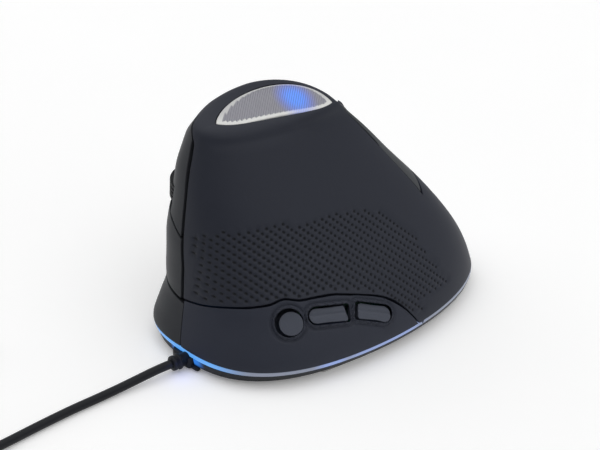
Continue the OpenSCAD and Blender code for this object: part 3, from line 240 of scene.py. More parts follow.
# Surfaces
def smooth(knots, x):
    """Values on a smooth curve through knots of [key, value, ...]."""
    x = np.asarray(x, float)
    table = np.asarray(knots, float)
    keys, values = table[:, 0], table[:, 1:]
    last = len(keys) - 1
    before = np.maximum(np.arange(last + 1) - 1, 0)
    after = np.minimum(np.arange(last + 1) + 1, last)
    slopes = (values[after] - values[before]) / (keys[after] - keys[before])[:, None]
    i = np.clip(np.searchsorted(keys, x, side="right") - 1, 0, last - 1)
    h = keys[i + 1] - keys[i]
    s = ((x - keys[i]) / h)[..., None]
    h = h[..., None]
    found = ((2 * s ** 3 - 3 * s ** 2 + 1) * values[i] + (s ** 3 - 2 * s ** 2 + s) * h * slopes[i]
             + (3 * s ** 2 - 2 * s ** 3) * values[i + 1] + (s ** 3 - s ** 2) * h * slopes[i + 1])
    return found[..., 0] if values.shape[1] == 1 else found


def bezier(a, b, c, d, s):
    return (1 - s) ** 3 * a + 3 * (1 - s) ** 2 * s * b + 3 * (1 - s) * s ** 2 * c + s ** 3 * d


def unit(v):
    return v / np.maximum(np.linalg.norm(v, axis=-1, keepdims=True), 1e-12)


def rail(knots, z):
    return smooth(knots, z / BODY_H) * [BODY_W / 2, BODY_L / 2]


def body(t, z):
    """Points of the body's outline at places t, from 0 at the nose round by the thumb, and heights z."""
    t, z = np.broadcast_arrays(np.mod(np.asarray(t, float), 4.0), np.asarray(z, float))
    n, l, r, p = (rail(k, z) for k in (NOSE_RAIL, THUMB_RAIL, REAR_RAIL, PALM_RAIL))
    k = np.minimum(np.floor(t), 3)
    s = (t - k)[..., None]
    zero = np.zeros_like(z)

    def across(share, a, b):
        return np.stack([share * (a - b), zero], -1)

    def along(share, a, b):
        return np.stack([zero, share * (a - b)], -1)

    thumb_way = np.array([math.cos(NOSE_SLOPE_THUMB), math.sin(NOSE_SLOPE_THUMB)])
    palm_way = np.array([math.cos(NOSE_SLOPE_PALM), -math.sin(NOSE_SLOPE_PALM)])
    front = (FULL_THUMB_FRONT * (n[..., 0] - l[..., 0]))[..., None]
    palm = (FULL_PALM_FRONT * (p[..., 0] - n[..., 0]))[..., None]
    quarters = [
        bezier(n, n - thumb_way * front, l + along(FULL_THUMB_FRONT, n[..., 1], l[..., 1]), l, s),
        bezier(l, l - along(FULL_THUMB_REAR, l[..., 1], r[..., 1]),
               r - across(FULL_THUMB_REAR, r[..., 0], l[..., 0]), r, s),
        bezier(r, r + across(FULL_PALM_REAR, p[..., 0], r[..., 0]),
               p - along(FULL_PALM_REAR, p[..., 1], r[..., 1]), p, s),
        bezier(p, p + along(FULL_PALM_FRONT, n[..., 1], p[..., 1]), n + palm_way * palm, n, s)]
    flat = np.select([(k == i)[..., None] for i in range(4)], quarters)
    return np.concatenate([flat, z[..., None]], -1)


def leaning(t, z):
    """Place t moved to the rear with the crest's seam as it climbs."""
    near = np.maximum(0, 1 - np.abs(t - CREST) / CREST_REACH)
    return t + CREST_LEAN * near * np.clip((z / BODY_H - CREST_FOOT) / CREST_RISE, 0, 1)


def swollen(points, t, v):
    """Points of the body or the cap, moved by the swells."""
    for at, height, wide, high, out in SWELLS:
        away = np.mod(t - at + 2, 4) - 2
        share = np.exp(-(away / wide) ** 2 - ((v - height) / high) ** 2)
        share = share * np.clip((SHOULDER + CAP_RUN - v) / SWELL_FADE, 0, 1)
        z = min(height, SHOULDER - 1)
        ahead = body(at + .01, z) - body(at - .01, z)
        rise = SWELL_RISE if height > SHOULDER else 0
        way = unit(np.append(unit(np.cross(ahead, [0, 0, 1.0]))[:2], rise))
        points = points + out * share[..., None] * way
    return points


def skin(t, z):
    t, z = np.broadcast_arrays(np.asarray(t, float), np.asarray(z, float))
    return swollen(body(leaning(t, z), z), t, z)


def lens_edge(t, grow):
    """Edge of the lens in its own frame, along and across, at the same place t as the body's outline."""
    t = np.asarray(t, float)
    near = t <= 2
    u = np.where(t < 1, -np.cos(np.pi / 2 * t), 1 - (2 - t) ** 3)
    s = np.pi / 2 * t + LENS_SHIFT * np.sin(np.pi / 2 * t) ** 2
    a = np.where(near, LENS_L / 2 * u, -LENS_L / 2 * np.cos(s) + LENS_SKEW * np.sin(s) ** 2)
    far = LENS_TIP + (LENS_W - LENS_TIP) * np.abs(np.sin(s)) ** LENS_FAR_BOW
    d = np.where(near, LENS_TIP * np.abs(u) ** LENS_NEAR_BOW, far)
    edge = np.stack([a, d], -1)
    return edge + grow * unit(edge - LENS_MIDDLE)


def from_lens(a, d, h):
    y = d * math.cos(LENS_TILT) - h * math.sin(LENS_TILT)
    z = d * math.sin(LENS_TILT) + h * math.cos(LENS_TILT)
    return LENS_AT + np.stack([-math.sin(LENS_TURN) * a + math.cos(LENS_TURN) * y,
                               -math.cos(LENS_TURN) * a - math.sin(LENS_TURN) * y, z], -1)


def cap(t, w):
    """Cap from the shoulder, w = 0, to the lens's hole, w = 1."""
    t, w = np.broadcast_arrays(np.mod(np.asarray(t, float), 4.0), np.asarray(w, float))
    a = body(t, SHOULDER)
    up = a - body(t, SHOULDER - 1)
    e = lens_edge(t, LENS_CLEAR)
    c = from_lens(e[..., 0], e[..., 1], 0 * t)
    rise = (c - a)[..., 2:]
    run = (c - a) * [1, 1, 0]
    full = smooth(CAP_FULL, t)[..., None]
    length = np.linalg.norm(run, axis=-1, keepdims=True)
    lean = np.clip(full * rise * np.sum(up * unit(run), -1, keepdims=True), 0, (1 - full) * length)
    upright = np.array([0, 0, 1.0])
    return bezier(a, a + lean * unit(run) + full * rise * upright,
                  c - full * run + smooth(RIM_PULL, t)[..., None] * upright, c, w[..., None])


def main_surface(uv):
    """Main shell at flat points of place and height, where the cap goes on above the shoulder."""
    t, v = uv[:, 0], uv[:, 1]
    w = np.clip((v - SHOULDER) / CAP_RUN, 0, 1)
    low = skin(t, np.minimum(v, SHOULDER))
    high = swollen(cap(leaning(t, SHOULDER), w), t, v)
    ends = np.minimum((t - CREASE_ENDS[0]) / CREASE_FADES[0], (CREASE_ENDS[1] - t) / CREASE_FADES[1])
    fade = np.clip(ends, 0, 1) * np.clip(w / CREASE_FOOT, 0, 1)
    deep = CREASE_DEEP * fade * np.exp(-((w - CREASE_AT) / CREASE_WIDE) ** 2)
    high = high - deep[:, None] * unit(high - [*LENS_AT[:2], SHOULDER - CREASE_DROP])
    return np.where((v > SHOULDER)[:, None], high, low)


def cap_line(rise):
    """Height, in the flat pattern, of the seam between the cap and the panels."""
    return lambda t: SHOULDER + CAP_RUN * smooth(CAP_SEAM, t) + rise * np.interp(t, CAP_GAP_AT, CAP_GAP)


def nose_line(z):
    """How far the nose's gap lies on the thumb side at a height."""
    return NOSE_MOVE * np.clip((np.asarray(z, float) - NOSE_FROM) / (NOSE_FULL - NOSE_FROM), 0, 1)


def side_surface(uv):
    return skin(uv[:, 0], uv[:, 1])


def normals_of(surface, uv, steps):
    du, dv = np.array([steps[0], 0]), np.array([0, steps[1]])
    return unit(np.cross(surface(uv + du) - surface(uv - du), surface(uv + dv) - surface(uv - dv)))


# Meshes
def piece(name, points, faces, normals, material):
    """New object from points in millimetres."""
    mesh = bpy.data.meshes.new(name)
    mesh.from_pydata((np.asarray(points) * MM).tolist(), [], faces)
    mesh.polygons.foreach_set("use_smooth", [True] * len(mesh.polygons))
    if normals is not None:
        mesh.normals_split_custom_set_from_vertices(unit(np.asarray(normals, float)).tolist())
    made = bpy.data.objects.new(name, mesh)
    bpy.context.scene.collection.objects.link(made)
    mesh.materials.append(material)
    return made


def area_of(loop):
    x, y = loop[:, 0], loop[:, 1]
    return .5 * np.sum(x * np.roll(y, -1) - y * np.roll(x, -1))


def spread(points, others, gap):
    """Points that are at least a gap away from all the others."""
    keep = np.ones(len(points), bool)
    for i in range(0, len(points), 400):
        part = points[i:i + 400]
        keep[i:i + 400] = ((part[:, None] - others[None]) ** 2).sum(-1).min(1) > gap * gap
    return points[keep]


def flat_spread(points, others, gap):
    """The same for points of the flat pattern, with the gap in millimetres."""
    return spread(points * FLAT_SCALE, others * FLAT_SCALE, gap) / FLAT_SCALE


def quads(rows, count):
    """Faces between rows of points, each of which closes on itself."""
    return [[j * count + i, j * count + (i + 1) % count, (j + 1) * count + (i + 1) % count,
             (j + 1) * count + i] for j in range(rows - 1) for i in range(count)]


def trimmed(loops, inner, surface, edge, lip, tongues=None, relief=None, reach=TONGUE_REACH, collar=None,
            scale=FLAT_SCALE, steps=FLAT_STEPS):
    """Skin inside flat loops, whose edges are rounded and turn in.

    The first loop is the outline and the others are holes. Tongues gives the depth of a tongue behind each
    edge of the outline, or what else becomes of it. Relief holds depths and tilts of the last inner points,
    and collar is the depth to which holes turn in, where it isn't the lip.
    Returns points, faces, normals, depths and flat places.
    """
    loops = [loop if (area_of(loop) > 0) == (i == 0) else loop[::-1] for i, loop in enumerate(loops)]
    flat = np.vstack([*loops, inner])
    edges, starts, at = [], [], 0
    for loop in loops:
        n = len(loop)
        starts.append(at)
        edges += [(at + i, at + (i + 1) % n) for i in range(n)]
        at += n
    found = geometry.delaunay_2d_cdt([Vector(p) for p in (flat * scale).tolist()], edges, [], 1, 1e-6)
    uv = np.array([tuple(p) for p in found[0]]) / scale
    home = np.zeros(len(flat), int)
    for j, sources in enumerate(found[3]):
        home[list(sources)] = j
    points = surface(uv)
    normals = normals_of(surface, uv, steps)
    depths = np.zeros(len(uv))
    if relief is not None:
        depth, tilt = relief
        spots = home[len(flat) - len(depth):]
        depths[spots] = depth
        points[spots] -= normals[spots] * depth[:, None]
        normals[spots] = unit(normals[spots] + tilt)
    faces = np.array(found[2])
    middles = uv[faces].mean(1)
    for hole in loops[1:]:
        faces, middles = (x[~inside(middles, hole)] for x in (faces, middles))
    faces = faces.tolist()
    all_points, all_normals, all_flat, count = [points], [normals], [uv], len(points)
    for k, loop in enumerate(loops):
        n = len(loop)
        ids = home[starts[k]:starts[k] + n]
        p, up = points[ids], normals[ids]
        out = unit(np.cross(unit(np.roll(p, -1, 0) - p) + unit(p - np.roll(p, 1, 0)), up))
        ways = [(math.sin(a), 1 - math.cos(a), math.cos(a)) for a in np.radians((30, 60, 90))]
        rings = [(p + out * edge * s - up * edge * c, up * q + out * s) for s, c, q in ways]
        turn = np.broadcast_to(np.maximum(collar if collar and k else lip, 1.1 * edge), n)
        rings.append((p + out * edge - up * turn[:, None], out))
        tongue = np.full(n, TURNED) if tongues is None or k > 0 else tongues
        turned = len(rings)
        if (tongue > 0).any():
            below = up * np.maximum(tongue, turn)[:, None]
            rings.append((p + out * edge - below, out + up))
            rings.append((p + out * np.broadcast_to(reach, n)[:, None] - below, up))
        low = ids
        for r, (ring, ring_normals) in enumerate(rings):
            high = np.arange(count, count + n)
            all_points.append(ring)
            all_normals.append(ring_normals)
            all_flat.append(uv[ids])
            count += n
            for i in np.nonzero(tongue > 0 if r >= turned else tongue != OPEN)[0]:
                j = (i + 1) % n
                faces.append([int(low[j]), int(low[i]), int(high[i]), int(high[j])])
            low = high
    points, normals, flat = np.vstack(all_points), np.vstack(all_normals), np.vstack(all_flat)
    depths = np.concatenate([depths, np.zeros(len(points) - len(depths))])
    used = np.unique(np.concatenate([np.asarray(f) for f in faces]))
    number = np.full(len(points), -1)
    number[used] = np.arange(len(used))
    return points[used], [number[f].tolist() for f in faces], normals[used], depths[used], flat[used]


def mark(made, name, values):
    """Values at a piece's points, for its finish."""
    values = np.clip(values, 0, 1).astype(np.float32)
    made.data.attributes.new(name, "FLOAT", "POINT").data.foreach_set("value", values)


def line(a, b, step=STEP):
    """Flat points from a towards b, without b."""
    a, b = np.asarray(a, float), np.asarray(b, float)
    n = max(1, int(round(np.linalg.norm((b - a) * [QUARTER_RUN, 1]) / step)))
    return a + (b - a) * (np.arange(n) / n)[:, None]


def on_seam(height, t):
    """Flat point on a seam of a given height over places."""
    return t, float(height(t))


def seam_line(height, t0, t1, step=STEP):
    """Flat points along a seam of a given height over places, without the last."""
    n = max(2, int(abs(t1 - t0) * QUARTER_RUN / step))
    t = t0 + (t1 - t0) * np.arange(n) / n
    return np.stack([t, height(t)], -1)


def seam(knots, rise):
    return lambda t: smooth(knots, t) * BODY_H + rise


def grid(t0, t1, v0, v1, step):
    """Flat points of a staggered grid."""
    across = step / QUARTER_RUN
    rows = []
    for i, v in enumerate(np.arange(v0, v1, step)):
        t = np.arange(t0 + (i % 2) * across / 2, t1, across)
        rows.append(np.stack([t, np.full(len(t), v)], -1))
    return np.vstack(rows)


def inside(points, loop):
    """Which flat points lie inside a loop."""
    x, y = points[:, 0], points[:, 1]
    crossed = np.zeros(len(points), int)
    for (ax, ay), (bx, by) in zip(loop, np.roll(loop, -1, 0)):
        if ay != by:
            crossed += ((ay > y) != (by > y)) & (x < (bx - ax) * (y - ay) / (by - ay) + ax)
    return crossed % 2 == 1


def filling(loops, points, gap):
    """Grid points that lie in the outline, out of the holes, and a gap away from both."""
    keep = inside(points, loops[0])
    for loop in loops[1:]:
        keep &= ~inside(points, loop)
    return flat_spread(points[keep], np.vstack(loops), gap)


# Finishes
class Wire:
    """One socket of a material, with Python's operators as Math nodes."""

    def __init__(self, paint, socket):
        self.paint = paint
        self.socket = socket

    def math(self, operation, *others):
        return self.paint.node("ShaderNodeMath", {"operation": operation},
                               dict(enumerate((self, *others))))

    def __add__(self, other):
        return self.math("ADD", other)

    def __sub__(self, other):
        return self.math("SUBTRACT", other)

    def __mul__(self, other):
        return self.math("MULTIPLY", other)

    def __rsub__(self, other):
        return self.paint.node("ShaderNodeMath", {"operation": "SUBTRACT"}, {0: other, 1: self})


class Paint:
    """A material under construction."""

    def __init__(self, name):
        self.material = bpy.data.materials.new(name)
        self.material.use_nodes = True
        self.tree = self.material.node_tree
        self.shader = self.tree.nodes["Principled BSDF"]
        self.output = self.tree.nodes["Material Output"]

    def node(self, kind, settings, sockets, out=0):
        """A node of a type, with its settings and the values or links of its sockets, as a Wire."""
        made = self.tree.nodes.new(kind)
        for key, value in settings.items():
            setattr(made, key, value)
        for key, value in sockets.items():
            self.link(made.inputs[key], value)
        return Wire(self, made.outputs[out])

    def link(self, socket, value):
        if isinstance(value, Wire):
            self.tree.links.new(value.socket, socket)
        elif hasattr(value, "__len__") and socket.type == "RGBA":
            socket.default_value = (*value[:3], 1)
        else:
            socket.default_value = value

    def set(self, **values):
        """Sockets of the shader, with _ for spaces."""
        for key, value in values.items():
            self.link(self.shader.inputs[key.replace("_", " ")], value)
        return self

    def place(self):
        return self.node("ShaderNodeTexCoord", {}, {}, "Object")

    def noise(self, mm, detail=2.0, stretch=None):
        where = self.place()
        if stretch:
            where = self.node("ShaderNodeVectorMath", {"operation": "MULTIPLY"}, {0: where, 1: stretch})
        return self.node("ShaderNodeTexNoise", {},
                         {"Vector": where, "Scale": 1 / (mm * MM), "Detail": detail}, "Fac")

    def attribute(self, name):
        """Values that a piece has at its points."""
        return self.node("ShaderNodeAttribute", {"attribute_name": name}, {}, "Fac")

    def along(self, way):
        """Product of the place and a way."""
        return self.node("ShaderNodeVectorMath", {"operation": "DOT_PRODUCT"},
                         {0: self.place(), 1: way.tolist()}, "Value")

    def blend(self, share, a, b):
        """Colour between a and b."""
        return self.node("ShaderNodeMix", {"data_type": "RGBA"}, {0: share, 6: a, 7: b}, 2)

    def bump(self, height, mm, strength=1.0):
        return self.node("ShaderNodeBump", {}, {"Height": height, "Distance": mm * MM, "Strength": strength})

    def ramp(self, value, low, high):
        """0 below low, 1 above high."""
        return self.node("ShaderNodeMapRange", {"interpolation_type": "SMOOTHSTEP"},
                         {"Value": value, "From Min": low, "From Max": high})

    def far(self, point):
        """Distance in millimetres from a point in millimetres."""
        gap = self.node("ShaderNodeVectorMath", {"operation": "DISTANCE"},
                        {0: self.place(), 1: [c * MM for c in point]}, "Value")
        return gap * (1 / MM)

    def part(self, axis):
        """One coordinate in millimetres."""
        return self.node("ShaderNodeSeparateXYZ", {}, {0: self.place()}, axis) * (1 / MM)


def shade(colour, share):
    return [min(1.0, c * share) for c in colour]


def moulded(name, colour, rough=.5, grain=.28, depth=.02, mottle=.08, gloss=.22, pits=None, lit=None):
    """Moulded plastic: spark-eroded grain, faint clouds in colour and sheen.

    Pits is the colour of the bare band on a piece whose pits are also darkened with painted shade, and lit
    is a place round which blue light is painted on as a glow.
    """
    p = Paint(name)
    clouds = p.noise(9, 3)
    fine = p.noise(grain, 2)
    tone = p.blend(clouds, shade(colour, 1 - mottle), shade(colour, 1 + mottle))
    tone = p.blend(p.ramp(fine, .3, .75), tone, shade(colour, 1.12))
    if pits:
        # Painted shade: the colour darkens with the depth of the pits
        tone = p.blend(p.attribute("pit"), tone, shade(colour, PIT_SHADE_TONE))
        tone = p.blend(p.attribute("bare"), tone, p.blend(fine, shade(pits, .92), shade(pits, 1.1)))
    p.set(Base_Color=tone, Roughness=clouds * .1 + fine * .1 + (rough - .1), Specular_IOR_Level=gloss,
          Normal=p.bump(fine, depth, .8))
    if lit:
        # Painted blue light: the piece glows blue round the lit place and low down, though it is no lamp
        share = (1 - p.ramp(p.far(lit), 5, 9)) * p.ramp(p.part("Z"), 1.6, 3.2)
        p.set(Emission_Color=p.blend(share, (0, 0, 0), linear("#2f86f0")), Emission_Strength=.8)
    return p.material


def rubbery(name, colour, rough=.55):
    """Soft rubber with a fine matt skin."""
    p = Paint(name)
    fine = p.noise(.2, 3)
    p.set(Base_Color=p.blend(p.noise(6), shade(colour, .85), shade(colour, 1.15)),
          Roughness=fine * .15 + (rough - .08), Specular_IOR_Level=.2, Normal=p.bump(fine, .03, .6))
    return p.material


def metallic(name, colour, rough=.3, stretch=(1, 1, 12)):
    """Drawn or plated metal with fine lines."""
    p = Paint(name)
    lines = p.noise(.6, 3, stretch)
    p.set(Base_Color=p.blend(lines, shade(colour, .86), shade(colour, 1.1)), Metallic=1.0,
          Roughness=lines * .16 + (rough - .06), Normal=p.bump(lines, .01, .5))
    return p.material


def printed_board(name, colour):
    """Circuit board: solder mask with tracks under it."""
    p = Paint(name)
    cells = p.node("ShaderNodeTexBrick", {"offset": .5},
                   {"Vector": p.place(), "Scale": 260.0, "Color1": (1, 1, 1), "Color2": (.8, .8, .8),
                    "Mortar": (0, 0, 0), "Mortar Size": .05})
    track = p.node("ShaderNodeSeparateColor", {}, {0: cells})
    p.set(Base_Color=p.blend(track, shade(colour, 1.5), colour), Roughness=p.noise(2) * .15 + .3,
          Normal=p.bump(track, .04))
    return p.material


def lamp(name, colour, strength):
    """Light source in a milky package."""
    p = Paint(name)
    fade = p.noise(1.2)
    p.set(Base_Color=p.blend(fade, shade(colour, .8), (.9, .92, .95)), Roughness=fade * .1 + .25,
          Emission_Color=p.blend(fade, shade(colour, .8), colour), Emission_Strength=strength)
    return p.material


def glassy(name, colour):
    """Clear moulded optic."""
    p = Paint(name)
    p.set(Base_Color=p.blend(p.noise(3), shade(colour, .9), colour), Roughness=p.noise(1) * .06 + .04,
          Transmission_Weight=.6, IOR=1.5)
    return p.material


def light_guide():
    """Frosted ring, lit blue by the cable, pale along the side and greyer between."""
    c = colours()
    p = Paint("ring_frosted")
    fine = p.noise(.5)
    exit_glow = 1 - p.ramp(p.far((-4, 57, 5)), 9, 26)
    side_glow = (1 - p.ramp(p.far((-36, -1, 5)), 9, 21)) * .8
    spot_glow = 1 - p.ramp(p.far((-37, 20.5, 5)), 2, 8)
    tone = p.blend(side_glow.math("MAXIMUM", spot_glow), shade(c.ring, .5), linear("#7f97d2"))
    p.set(Base_Color=p.blend(fine, shade(c.ring, .4), shade(c.ring, .5)), Roughness=fine * .2 + .25,
          Emission_Color=p.blend(exit_glow, tone, linear("#4ba4f5")), Emission_Strength=.85)
    return p.material


def lens_plastic():
    """Silvery ribbed lens with painted shade along its ribs, a near-white rim that is a painted highlight,
    and a blue light under it.
    """
    c = colours()
    p = Paint("lens_ribbed")
    fine = p.noise(.4)
    along = from_lens(1.0, LENS_SLANT, 0.0) - LENS_AT
    turns = 2 * math.pi * (1 + LENS_SLANT ** 2) / (size("rib") * MM)
    # Painted shade and highlight: the colour and the glow are lighter and darker along the ribs
    rib_shading = (p.along(along / (along @ along)) * turns).math("SINE")
    tone = p.blend(rib_shading * .5 + .5, shade(c.lens, .8), shade(c.lens, 1.12))
    # Painted highlight: the rim is near white
    tone = p.blend(p.attribute("rim"), p.blend(fine, tone, shade(c.lens, 1.05)), linear("#e8e8e5"))
    middle = from_lens(*LENS_GLOW_AT, 0.0)
    apart = [p.along(way / MM) - float(middle @ way)
             for way in (from_lens(1.0, 0.0, 0.0) - LENS_AT, .6 * (from_lens(0.0, 1.0, 0.0) - LENS_AT))]
    away = (apart[0] * apart[0] + apart[1] * apart[1]).math("SQRT")
    glow = 1 - p.ramp(away, LENS_GLOW_FROM, LENS_GLOW_TO)
    tone = p.blend(glow * .75, tone, linear("#2a4a8c"))
    p.set(Base_Color=tone, Roughness=fine * .1 + .2, Specular_IOR_Level=.4, Coat_Weight=.25,
          Emission_Color=p.blend(glow * (rib_shading * .2 + .8), (0, 0, 0),
                                 p.blend(glow, linear("#4b4bd8"), c.glow)), Emission_Strength=.85)
    return p.material


# Finishes of the solids that show as they are: maker, name and settings, by slot of the record
FINISHES = {
    # The tray gets painted blue light by the cable's exit
    "tray_plastic": (moulded, "tray_plastic", {"lit": (-3.5, 57, 4.4)}),
    "glide": (moulded, "glide_slick", {"rough": .28, "grain": .5, "depth": .01, "mottle": .05, "gloss": .5}),
    "screw_steel": (metallic, "screw_steel", {}),
    "inner_plastic": (moulded, "inner_plastic", {"rough": .55}),
    "board": (printed_board, "board_green", {}),
    "white_board": (printed_board, "board_white", {}),
    "switch_black": (moulded, "switch_black", {"rough": .4, "grain": .2}),
    "plunger_red": (moulded, "plunger_red", {"rough": .35, "grain": .2, "depth": .01}),
    "wheel_plastic": (moulded, "wheel_plastic", {"rough": .4}),
    "tyre_rubber": (rubbery, "tyre_rubber", {"rough": .6}),
    "encoder_blue": (moulded, "encoder_blue", {"rough": .4, "grain": .2}),
    "reflector": (metallic, "reflector_silver", {"rough": .2, "stretch": (1, 1, 1)}),
    "led": (lamp, "light_blue", {"strength": 2.0}),
    "sensor_light": (lamp, "light_sensor", {"strength": 1.0}),
    "sensor_optic": (glassy, "sensor_optic", {}),
    "connector": (moulded, "connector_ivory", {"rough": .4}),
    "cord_rubber": (rubbery, "cord_rubber", {"rough": .42}),
    "tie_black": (rubbery, "tie_black", {"rough": .5}),
    "grip_plastic": (moulded, "grip_plastic", {"rough": .45}),
    "plug_metal": (metallic, "plug_metal", {"rough": .22, "stretch": (12, 1, 1)}),
    "plug_white": (moulded, "plug_white", {"rough": .35}),
    "gold": (metallic, "contact_gold", {"rough": .2, "stretch": (1, 8, 1)}),
}


def finish_for(slot, given):
    """Material for a slot of the record whose solids show as they are."""
    own = {"tray_plastic": colours().tray, "cord_rubber": colours().cord}
    maker, name, settings = FINISHES[slot]
    return maker(name, own.get(slot, given), **settings)


def settle(made, body_name, slot, *nodes):
    """Sets a piece on its body and hides the solids that it stands for; the slot is not used."""
    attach(made, body_name)
    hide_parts(*nodes)
    return made


# Outlines on the skirt
def turned_by(degrees):
    return math.cos(math.radians(degrees)), math.sin(math.radians(degrees))


def circle(degrees):
    """Points on a circle of radius 1."""
    return np.stack([np.cos(np.radians(degrees)), np.sin(np.radians(degrees))], -1)


def button_frame(at, yaw):
    """Origin and axes, out, rear and up, of a thumb button."""
    c, s = turned_by(yaw)
    origin = THUMB_AT + at[0] * THUMB_OUT + at[1] * THUMB_BACK + at[2] * THUMB_UP
    return origin, c * THUMB_OUT + s * THUMB_BACK, c * THUMB_BACK - s * THUMB_OUT, THUMB_UP


def long_outline(length, way, grow, end, slope, shear=0, fade=0):
    """Outline of a long button: one round end, and one straight end with small corners that may lean.

    Fade is how far the lower half of the round end comes out to meet its hole.
    """
    r, corner = LONG_H / 2 + grow, LONG_CORNER
    middle, far = -(length - LONG_H) / 2, length / 2 + end
    bow = [middle, 0] + r * circle(np.arange(90, 270.1, 6))

    def rounded(x, y, start):
        return [x, y] + corner * circle(start + np.arange(0, 91, 22.5))

    def run(a, b):
        n = max(2, int(np.linalg.norm(b - a) / LONG_STEP))
        return a + (b - a) * (np.arange(1, n) / n)[:, None]

    low, high = rounded(far - corner, corner - r, -90), rounded(far - corner, r - corner, 0)
    loop = np.vstack([bow, run(bow[-1], low[0]), low, run(low[-1], high[0]), high, run(high[-1], bow[0])])
    loop[:, 0] -= shear * np.clip((loop[:, 0] - far + 2) / 2, 0, 1) * (.5 + .5 * loop[:, 1] / r)
    low = np.clip((middle + 2 - loop[:, 0]) / 3, 0, 1) * np.clip((.35 * r - loop[:, 1]) / r, 0, 1)
    loop = loop + fade * low[:, None] * unit(loop - [middle, 0])
    loop = loop * [-1, 1] if way > 0 else loop
    c, s = turned_by(slope)
    return loop @ np.array([[c, s], [-s, c]])


def disc_outline(d, shift=(0, 0)):
    return np.array(shift) + d / 2 * circle(np.arange(0, 360, 6))


def on_skin(points, way, start):
    """Flat places on the skin from which a way leads through the points."""
    way = unit(way)
    side = unit(np.cross(way, [0, 0, 1.0]))
    up = np.cross(side, way)
    uv = np.array(np.broadcast_to(start, (len(points), 2)), float)
    for _ in range(12):
        off = body(uv[:, 0], uv[:, 1]) - points
        du = (body(uv[:, 0] + .001, uv[:, 1]) - body(uv[:, 0] - .001, uv[:, 1])) / .002
        dv = (body(uv[:, 0], uv[:, 1] + .01) - body(uv[:, 0], uv[:, 1] - .01)) / .02
        m = np.stack([np.stack([du @ side, dv @ side], -1), np.stack([du @ up, dv @ up], -1)], 1)
        uv = uv - np.linalg.solve(m, np.stack([off @ side, off @ up], -1)[..., None])[..., 0]
    return uv


def hole_on_skirt(at, yaw, outline):
    origin, out, back, up = button_frame(at, yaw)
    return on_skin(origin + outline[:, :1] * back + outline[:, 1:] * up, out, (.9, 19.0))


def gap_to(points, loop):
    """Distance of flat points from a closed outline, negative inside it."""
    found = np.full(len(points), 1e9)
    for p, q in zip(loop, np.roll(loop, -1, 0)):
        w = q - p
        s = np.clip(((points - p) @ w) / (w @ w), 0, 1)
        found = np.minimum(found, np.linalg.norm(points - p - s[:, None] * w, axis=1))
    return np.where(inside(points, loop), -found, found)


def holes(grow):
    """Place, turn and outline of the hole of each thumb button, wider by a little."""
    wide = THUMB_CLEAR + grow
    return [(DPI_AT, DPI_YAW, disc_outline(DPI_HOLE_D + 2 * grow)),
            (FORWARD_AT, 0, long_outline(FORWARD_L, -1, wide, wide, FORWARD_SLOPE)),
            (BACK_AT, BACK_YAW, long_outline(BACK_L, 1, wide, wide, BACK_SLOPE))]


def skirt_surface(uv):
    """Skirt with a bead round the holes of the thumb buttons, and a soft hollow round the bead."""
    base = skin(uv[:, 0], uv[:, 1])
    near = np.full(len(uv), 99.0)
    for at, yaw, outline in holes(0):
        origin, _, back, up = button_frame(at, yaw)
        near = np.minimum(near, gap_to(np.stack([(base - origin) @ back, (base - origin) @ up], -1), outline))
    width = size("bead_w")
    rise = np.sqrt(np.clip(1 - (2 * near / width - 1) ** 2, 0, 1)) * (near < width)
    hollow = -HOLLOW_DEEP * np.exp(-((near - width - HOLLOW_AWAY) / HOLLOW_WIDE) ** 2)
    normal = normals_of(side_surface, uv, FLAT_STEPS)
    return base + normal * (size("bead") * rise + hollow)[:, None]


def button_piece(name, material, at, yaw, outline, height, reach):
    """Cap of a thumb button, from its outline, a height over each point of it and the reach of its flange."""
    origin, out, back, up = button_frame(at, yaw)

    def surface(yz):
        return origin + yz[:, :1] * back + yz[:, 1:] * up + height(yz)[:, None] * out

    outline = outline - CAP_EDGE * unit(outline - outline.mean(0))
    low, high = outline.min(0), outline.max(0)
    ys, zs = np.meshgrid(np.arange(low[0], high[0], CAP_STEP), np.arange(low[1], high[1], CAP_STEP))
    points = np.stack([ys.ravel(), zs.ravel()], -1)
    points = spread(points[inside(points, outline)], outline, .5 * CAP_STEP)
    made = trimmed([outline], points, surface, CAP_EDGE, CAP_LIP, np.full(len(outline), CAP_FLANGE),
                   reach=reach(outline), scale=PLAIN_SCALE, steps=PLAIN_STEPS)
    return piece(name, *made[:3], material)


